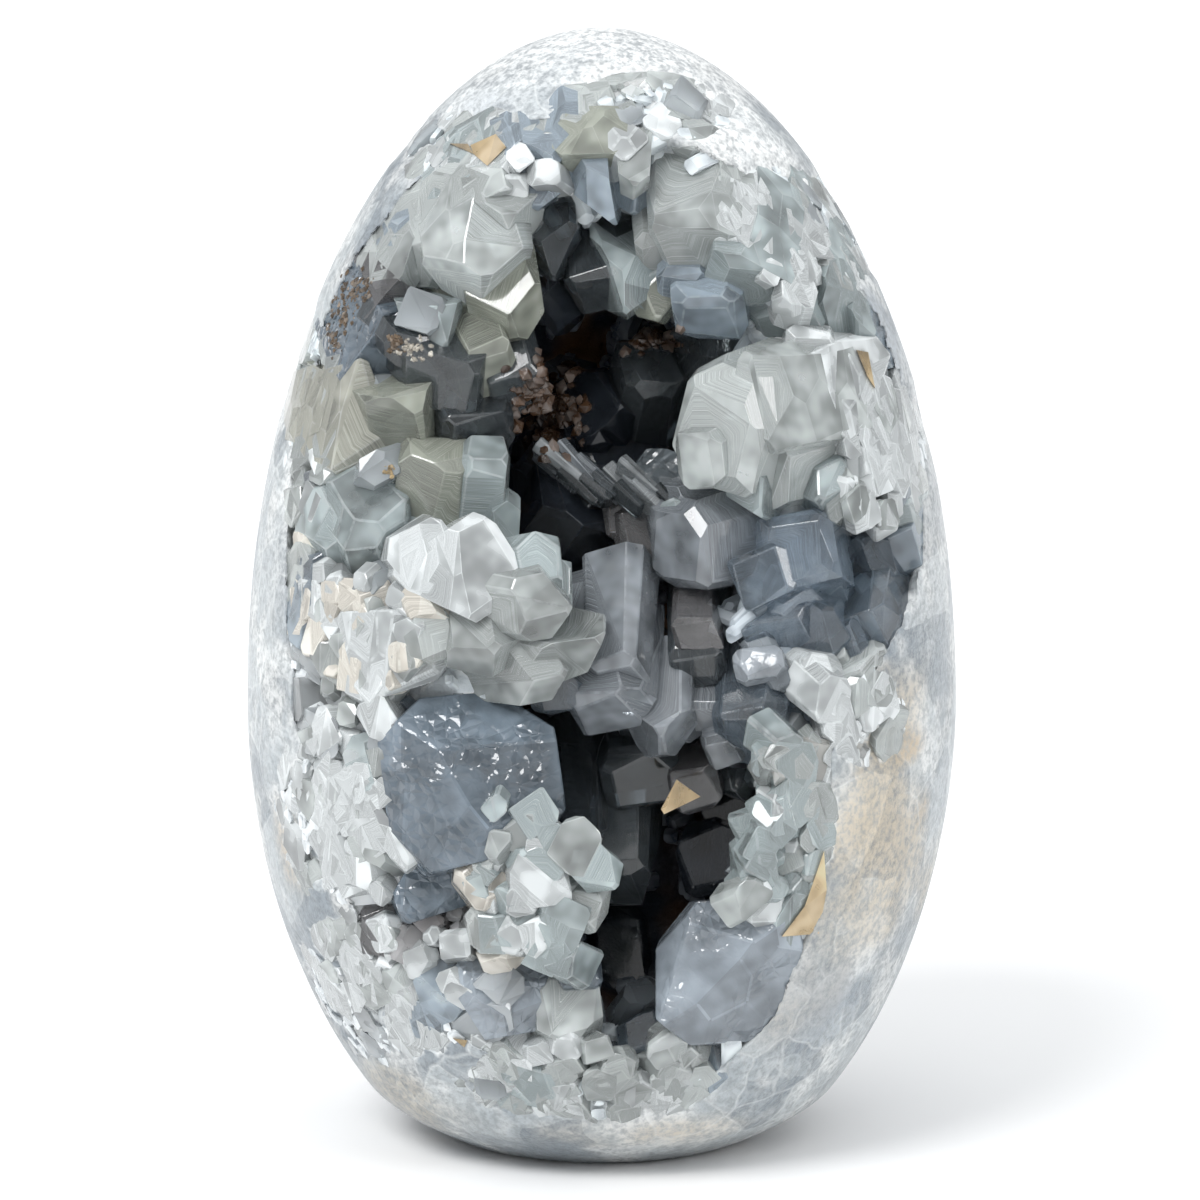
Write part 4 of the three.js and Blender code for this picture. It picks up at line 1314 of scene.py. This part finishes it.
def ledge_rows():
    """Rows of the thin plates that make the striated ledge in the hollow."""
    for i in range(LEDGE_COUNT):
        middle = [start + step * i for start, step in zip(LEDGE_FROM, LEDGE_STEP)]
        spot = [around(*pair) for pair in zip(middle, LEDGE_JITTER)]
        leans = [around(*lean) for lean in LEDGE_LEANS]
        width = chance.uniform(*LEDGE_WIDTHS)
        thickness = chance.uniform(*LEDGE_THICKNESSES)
        yield (*spot, *leans, width, thickness, "chisel", chance.choice(LEDGE_LOOKS))


all_rows = CRYSTALS + list(cluster_rows()) + list(ledge_rows()) + GAP_ROWS
print("rows in all:", len(all_rows))


# %% Joining
def kept_crystal(single, worn_and_highlit, place, tint):
    """One whole crystal as an object of its own, to be joined to its neighbours."""
    crust, layers = new_crust()
    add_crystal(crust, layers, single, worn_and_highlit, place, tint, 0)
    return bpy.data.objects.new("crystal", mesh_from(crust, "crystal"))


def joined(crystals):
    """One closed mesh of crystals that grow through each other."""
    base = crystals[0]
    others = bpy.data.collections.new("grown_together")
    scene.collection.objects.link(base)
    for crystal in crystals[1:]:
        others.objects.link(crystal)
    change = base.modifiers.new("join", "BOOLEAN")
    change.operation = "UNION"
    change.operand_type = "COLLECTION"
    change.collection = others
    change.solver = "MANIFOLD"
    mesh = evaluated_mesh(base)
    for crystal in crystals[1:]:
        bpy.data.objects.remove(crystal)
    bpy.data.collections.remove(others)
    return mesh


# %% Large and broken crystals
HANG_LIMIT, CROWN_LIMIT = 1.75, 1.45
HANG_RISE, HANG_DEPTH = -40, 9
CHIP_COUNT, CHIP_SHARE = 3, 0.1
COMPANION_LEAST, SECOND_LEAST = 6.5, 8.0
COMPANION_ROUND = 0.7
# Companions get numbers far from those of the rows, and with them other irregularities.
COMPANION_NUMBERS = 300
groups = {finish: [] for finish in range(len(FINISHES))}
broken, broken_layers = new_crust()

for index, row in enumerate(all_rows):
    across, up, deep, turn, rise, spin, width, thickness, habit, look = row
    in_table = index < len(CRYSTALS)
    place = place_of(across, up, deep, turn, rise, spin)
    length = root_length(place, width, thickness)
    if rise < HANG_RISE or not in_table:
        limit = HANG_LIMIT if deep > HANG_DEPTH else CROWN_LIMIT
        length = min(length, limit * max(width, thickness))
    faces = crystal_faces(index, width, thickness, length, habit)
    if in_table:
        faces = chip_faces(faces, CHIP_COUNT, min(width, thickness) * CHIP_SHARE)
    faces = clip_to_egg(faces, place)
    finish, tint = tone_of(look)
    single, worn_and_highlit = rounded_crystal(faces, EDGE_ROUND)
    if habit == "broken" and look != "frost":
        tint = BROKEN_TINTS.get(look, tint)
        add_crystal(broken, broken_layers, single, set(), place, tint, FINISH_ORDER.index("crinkled"))
        continue
    groups[finish].append(kept_crystal(single, worn_and_highlit, place, tint))
    least = min(width, thickness)
    for step in range((least > COMPANION_LEAST) + (least > SECOND_LEAST)):
        beside, size = stepped(place, width, thickness)
        number = index + COMPANION_NUMBERS * (step + 1)
        faces = crystal_faces(number, width * size, thickness * size, length, habit)
        finish, tint = tone_of(look)
        single, worn_and_highlit = rounded_crystal(clip_to_egg(faces, beside), EDGE_ROUND * COMPANION_ROUND)
        groups[finish].append(kept_crystal(single, worn_and_highlit, beside, tint))

whole, _ = new_crust()
for finish, crystals in groups.items():
    if not crystals:
        continue
    first = len(whole.faces)
    whole.from_mesh(joined(crystals))
    whole.faces.ensure_lookup_table()
    for face in whole.faces[first:]:
        face.material_index = finish
    print(FINISH_ORDER[finish], "crystals joined:", len(crystals), "faces:", len(whole.faces) - first)
large_crystals = finished_piece(whole, "large_crystals")
broken_crystals = finished_piece(broken, "broken_crystals")
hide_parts("crystal_crust")

# %% [markdown]
# ## Roots of the crystals
# The wall inside a crystal is never seen bare, only through the crystal. It is kept light there, so
# that pale crystals don't look hollow, and dark in the slate zones; and no druse grows on it.

# %% Roots: the wall inside the crystals
ROOT_DARKEST, ROOT_SPAN = 0.25, 0.3
crust_tree = ray_tree(large_crystals.data)
is_root = np.zeros(len(points))
for i in np.nonzero(bears_druse)[0]:
    spot = egg_mesh.vertices[i].co
    near, face_normal, _, _ = crust_tree.find_nearest(spot)
    is_root[i] = float((spot - near).dot(face_normal) < 0)
root_level = np.clip((zone_tint_and_deep_shade.mean(1) - ROOT_DARKEST) / ROOT_SPAN, 0, 1)
set_float(egg_mesh, "root", is_root * root_level)
set_float(egg_mesh, "druse", np.where(bears_druse, amount * (1 - is_root), 0))
print("points of the wall inside crystals:", int(is_root.sum()))

# %% [markdown]
# ## Druse
# Between the large crystals the wall is covered with small ones. They repeat by the thousand, so a
# Geometry Nodes tree scatters a few variants over the hollow, thicker where the zones say so, each
# along the wall's normal with a random lean. The instances are made real, because only real meshes
# are exported, and points outside the egg are pressed back to its ground surface.

# %% Small crystal variants
VARIANT_COUNT = 9
VARIANT_HABITS = ("point", "block", "chisel")
VARIANT_WIDTHS, VARIANT_THICKNESSES = (0.8, 1.1), (0.7, 1.0)
VARIANT_LENGTH, VARIANT_STAND = 2.4, 1.6
VARIANT_GRAIN = 2
# Variants too get numbers far from those of the rows.
VARIANT_NUMBERS = 900


def crystal_variant(name, number):
    """One small crystal of few faces, a unit wide, standing on the origin."""
    habit = VARIANT_HABITS[number % len(VARIANT_HABITS)]
    width = chance.uniform(*VARIANT_WIDTHS)
    thickness = chance.uniform(*VARIANT_THICKNESSES)
    single = hull_bmesh(crystal_faces(VARIANT_NUMBERS + number, width, thickness, VARIANT_LENGTH, habit))
    layer = single.verts.layers.float_vector.new("grain")
    for vert in single.verts:
        vert[layer] = vert.co * VARIANT_GRAIN * MM
        vert.co.z += VARIANT_STAND
    return bpy.data.objects.new(name, mesh_from(single, name))


variants = bpy.data.collections.new("small_crystal_variants")
for number in range(VARIANT_COUNT):
    variants.objects.link(crystal_variant(f"variant_{number}", number))

# %% Geometry Nodes tree for the druse
DRUSE_INPUTS = {
    "Surface": "Geometry", "Variants": "Collection", "Spacing": "Float", "Density": "Float",
    "Smallest": "Float", "Largest": "Float", "Lean": "Float", "Seed": "Int", "Finish": "Material",
}
# A crystal leans a little to each side and turns about its own axis by up to half a turn.
LEAN_LEAST, LEAN_MOST = (-1.0, -1.0, -3.1), (1.0, 1.0, 3.1)


def make_druse_tree():
    tree = bpy.data.node_groups.new("druse", "GeometryNodeTree")
    for label, kind in DRUSE_INPUTS.items():
        tree.interface.new_socket(label, in_out="INPUT", socket_type="NodeSocket" + kind)
    tree.interface.new_socket("Crystals", in_out="OUTPUT", socket_type="NodeSocketGeometry")
    given = tree.nodes.new("NodeGroupInput").outputs
    weight = add_node(tree, "GeometryNodeInputNamedAttribute", {"Name": "druse"}, data_type="FLOAT")
    spread = add_node(tree, "GeometryNodeDistributePointsOnFaces", distribute_method="POISSON", values={
        "Mesh": given["Surface"], "Distance Min": given["Spacing"], "Density Max": given["Density"],
        "Density Factor": weight.outputs["Attribute"], "Seed": given["Seed"],
    }).outputs
    pick = add_node(tree, "GeometryNodeCollectionInfo", {
        "Collection": given["Variants"], "Separate Children": True, "Reset Children": True,
    })
    lean = add_node(tree, "FunctionNodeRandomValue", data_type="FLOAT_VECTOR", values={
        "Min": vector_node(tree, "MULTIPLY", given["Lean"], LEAN_LEAST),
        "Max": vector_node(tree, "MULTIPLY", given["Lean"], LEAN_MOST), "Seed": given["Seed"],
    })
    turn = add_node(tree, "FunctionNodeRotateRotation", rotation_space="LOCAL", values={
        "Rotation": spread["Rotation"], "Rotate By": lean.outputs["Value"],
    })
    size = add_node(tree, "FunctionNodeRandomValue", data_type="FLOAT", values={
        2: given["Smallest"], 3: given["Largest"], "Seed": given["Seed"],
    })
    grow = add_node(tree, "GeometryNodeInstanceOnPoints", {
        "Points": spread["Points"], "Instance": pick.outputs["Instances"], "Pick Instance": True,
        "Rotation": turn.outputs["Rotation"], "Scale": size.outputs[1],
    })
    real = add_node(tree, "GeometryNodeRealizeInstances", {"Geometry": grow.outputs["Instances"]})
    finish = add_node(tree, "GeometryNodeSetMaterial", {
        "Geometry": real.outputs["Geometry"], "Material": given["Finish"],
    })
    add_node(tree, "NodeGroupOutput", {"Crystals": finish.outputs["Geometry"]})
    return tree


DRUSE_TREE = make_druse_tree()
print("druse inputs:", list(DRUSE_INPUTS))


# %% Grow the druse
def grow_druse(name, finish, **values):
    """A druse piece on the hollow's wall, made real and kept inside the egg."""
    holder = bpy.data.objects.new(name, egg_mesh)
    scene.collection.objects.link(holder)
    growth = holder.modifiers.new("druse", "NODES")
    growth.node_group = DRUSE_TREE
    sockets = {s.name: s.identifier for s in DRUSE_TREE.interface.items_tree if s.in_out == "INPUT"}
    for label, value in {"Variants": variants, "Finish": finish, **values}.items():
        growth[sockets[label]] = value
    mesh = evaluated_mesh(holder)
    p = read_vectors(mesh, "co") / MM
    depth_there, out = egg_depth(p)
    p -= out * np.maximum(SKIN_INSET - depth_there, 0)[:, None]
    p[:, 1] = np.maximum(p[:, 1], FRONT_MOST)
    p[:, 2] = np.maximum(p[:, 2], LOWEST)
    write_points(mesh, p)
    mesh.name = name
    return crust_piece(name, mesh)


small_crystals = grow_druse("small_crystals", FINISHES["milky"], Spacing=0.0034, Density=90000.0,
                            Smallest=0.0026, Largest=0.0058, Lean=0.45, Seed=3)
grow_druse("fine_druse", FINISHES["sugar"], Spacing=0.0011, Density=700000.0,
           Smallest=0.0009, Largest=0.0024, Lean=0.6, Seed=8)
for variant in list(variants.objects):
    bpy.data.objects.remove(variant)
bpy.data.collections.remove(variants)

# %% [markdown]
# ## Stained slivers and dirt
# Iron has stained a few thin plates ochre. Clay and brown grains sit between the crystals at the
# upper left, and coarse rusty ones deep in the hollow. A sliver's row holds its depth, its colour and
# a short outline, which gets a little thickness. A row of grains holds the place, the spread across and
# up, the count, the coarseness and the colour; each grain is a small lump on whatever a ray from the
# front meets.

# %% Ochre slivers
OCHRE = (0.64, 0.47, 0.25)
TAN = (0.62, 0.48, 0.30)
SLIVER_THICK = 1.6
SLIVERS = [
    (0.1, OCHRE, [(27, 36.5), (27.4, 31.7), (24.7, 29.8), (26, 33.5)]),
    (0.1, OCHRE, [(27.4, 31.7), (26.5, 26.3), (21.9, 26.1), (24.7, 29.8)]),
    (10.5, OCHRE, [(7.2, 41.6), (9.1, 45.2), (12, 43.1), (7.6, 41)]),
    (0.15, OCHRE, [(31.1, 97.5), (32.6, 97.3), (33.4, 92.9), (32.4, 94.4)]),
    (0.8, TAN, [(25.1, 111.8), (25.5, 110.4), (24.6, 107), (24, 107)]),
    (0.2, TAN, [(-18.6, 122.8), (-16.3, 122.6), (-15.6, 121.3)]),
    (0.2, OCHRE, [(-16, 122.4), (-12.9, 123.7), (-11.6, 122), (-13.9, 119.7), (-15.6, 121.3)]),
    (17, OCHRE, [(0.6, 71), (1.8, 71.1), (2.7, 69.7), (1, 70.1)]),
    (0.1, OCHRE, [(-18.2, 13.4), (-16.4, 13.2), (-16.8, 12.3)]),
]
slivers, sliver_layers = new_crust()
for deep, tint, outline in SLIVERS:
    single = bmesh.new()
    for across, up in outline:
        toward = surface_toward(across, up) - deep
        single.verts.new(from_mouth(across, up, toward))
        single.verts.new(from_mouth(across, up, toward - SLIVER_THICK))
    bmesh.ops.convex_hull(single, input=single.verts)
    bmesh.ops.recalc_face_normals(single, faces=single.faces)
    add_crystal(slivers, sliver_layers, single, set(), Matrix.Identity(4), tint,
                FINISH_ORDER.index("stained"))
finished_piece(slivers, "ochre_slivers")

# %% Dirt grains
BROWN = (0.16, 0.10, 0.05)
CREAM = (0.72, 0.66, 0.56)
RUST = (0.11, 0.055, 0.026)
DIRT = [
    (-30.2, 105, 2.2, 2.0, 60, 1.0, BROWN),
    (-31.4, 102.2, 1.6, 1.8, 45, 1.0, BROWN),
    (-32.8, 99.4, 1.2, 1.8, 35, 1.0, BROWN),
    (-24.8, 98.2, 1.2, 1.2, 30, 1.0, BROWN),
    (-22.8, 97.4, 2.0, 1.2, 60, 1.0, CREAM),
    (-25.8, 82.9, 0.8, 0.7, 18, 1.0, OCHRE),
    (-6.5, 91, 4.0, 5.0, 200, 2.4, RUST),
    (6, 99, 3.4, 1.4, 70, 2.2, RUST),
]
GRAIN_LEAST, GRAIN_MOST = 0.2, 0.5
GRAIN_SHAPES, GRAIN_SHADES = (0.7, 1.2), (0.6, 1.3)

bearers = (ground_egg, large_crystals, broken_crystals, small_crystals)
in_sight = ray_tree(*(piece.data for piece in bearers))
grains, grain_layers = new_crust()
for across, up, wide, high, count, coarse, tint in DIRT:
    for _ in range(count):
        a = across + chance.gauss(0, wide / 2)
        u = up + chance.gauss(0, high / 2)
        hit = in_sight.ray_cast(from_mouth(a, u, MOUTH_FRONT) * MM, -TOWARD)
        if hit[0] is None:
            continue
        single = bmesh.new()
        size = coarse * chance.uniform(GRAIN_LEAST, GRAIN_MOST)
        bmesh.ops.create_icosphere(single, subdivisions=1, radius=size)
        for vert in single.verts:
            vert.co *= chance.uniform(*GRAIN_SHAPES)
        shade = chance.uniform(*GRAIN_SHADES)
        spot = Matrix.Translation(hit[0] / MM - TOWARD * GRAIN_LEAST * coarse)
        add_crystal(grains, grain_layers, single, set(), spot, brighter(tint, shade),
                    FINISH_ORDER.index("stained"))
finished_piece(grains, "dirt_grains")
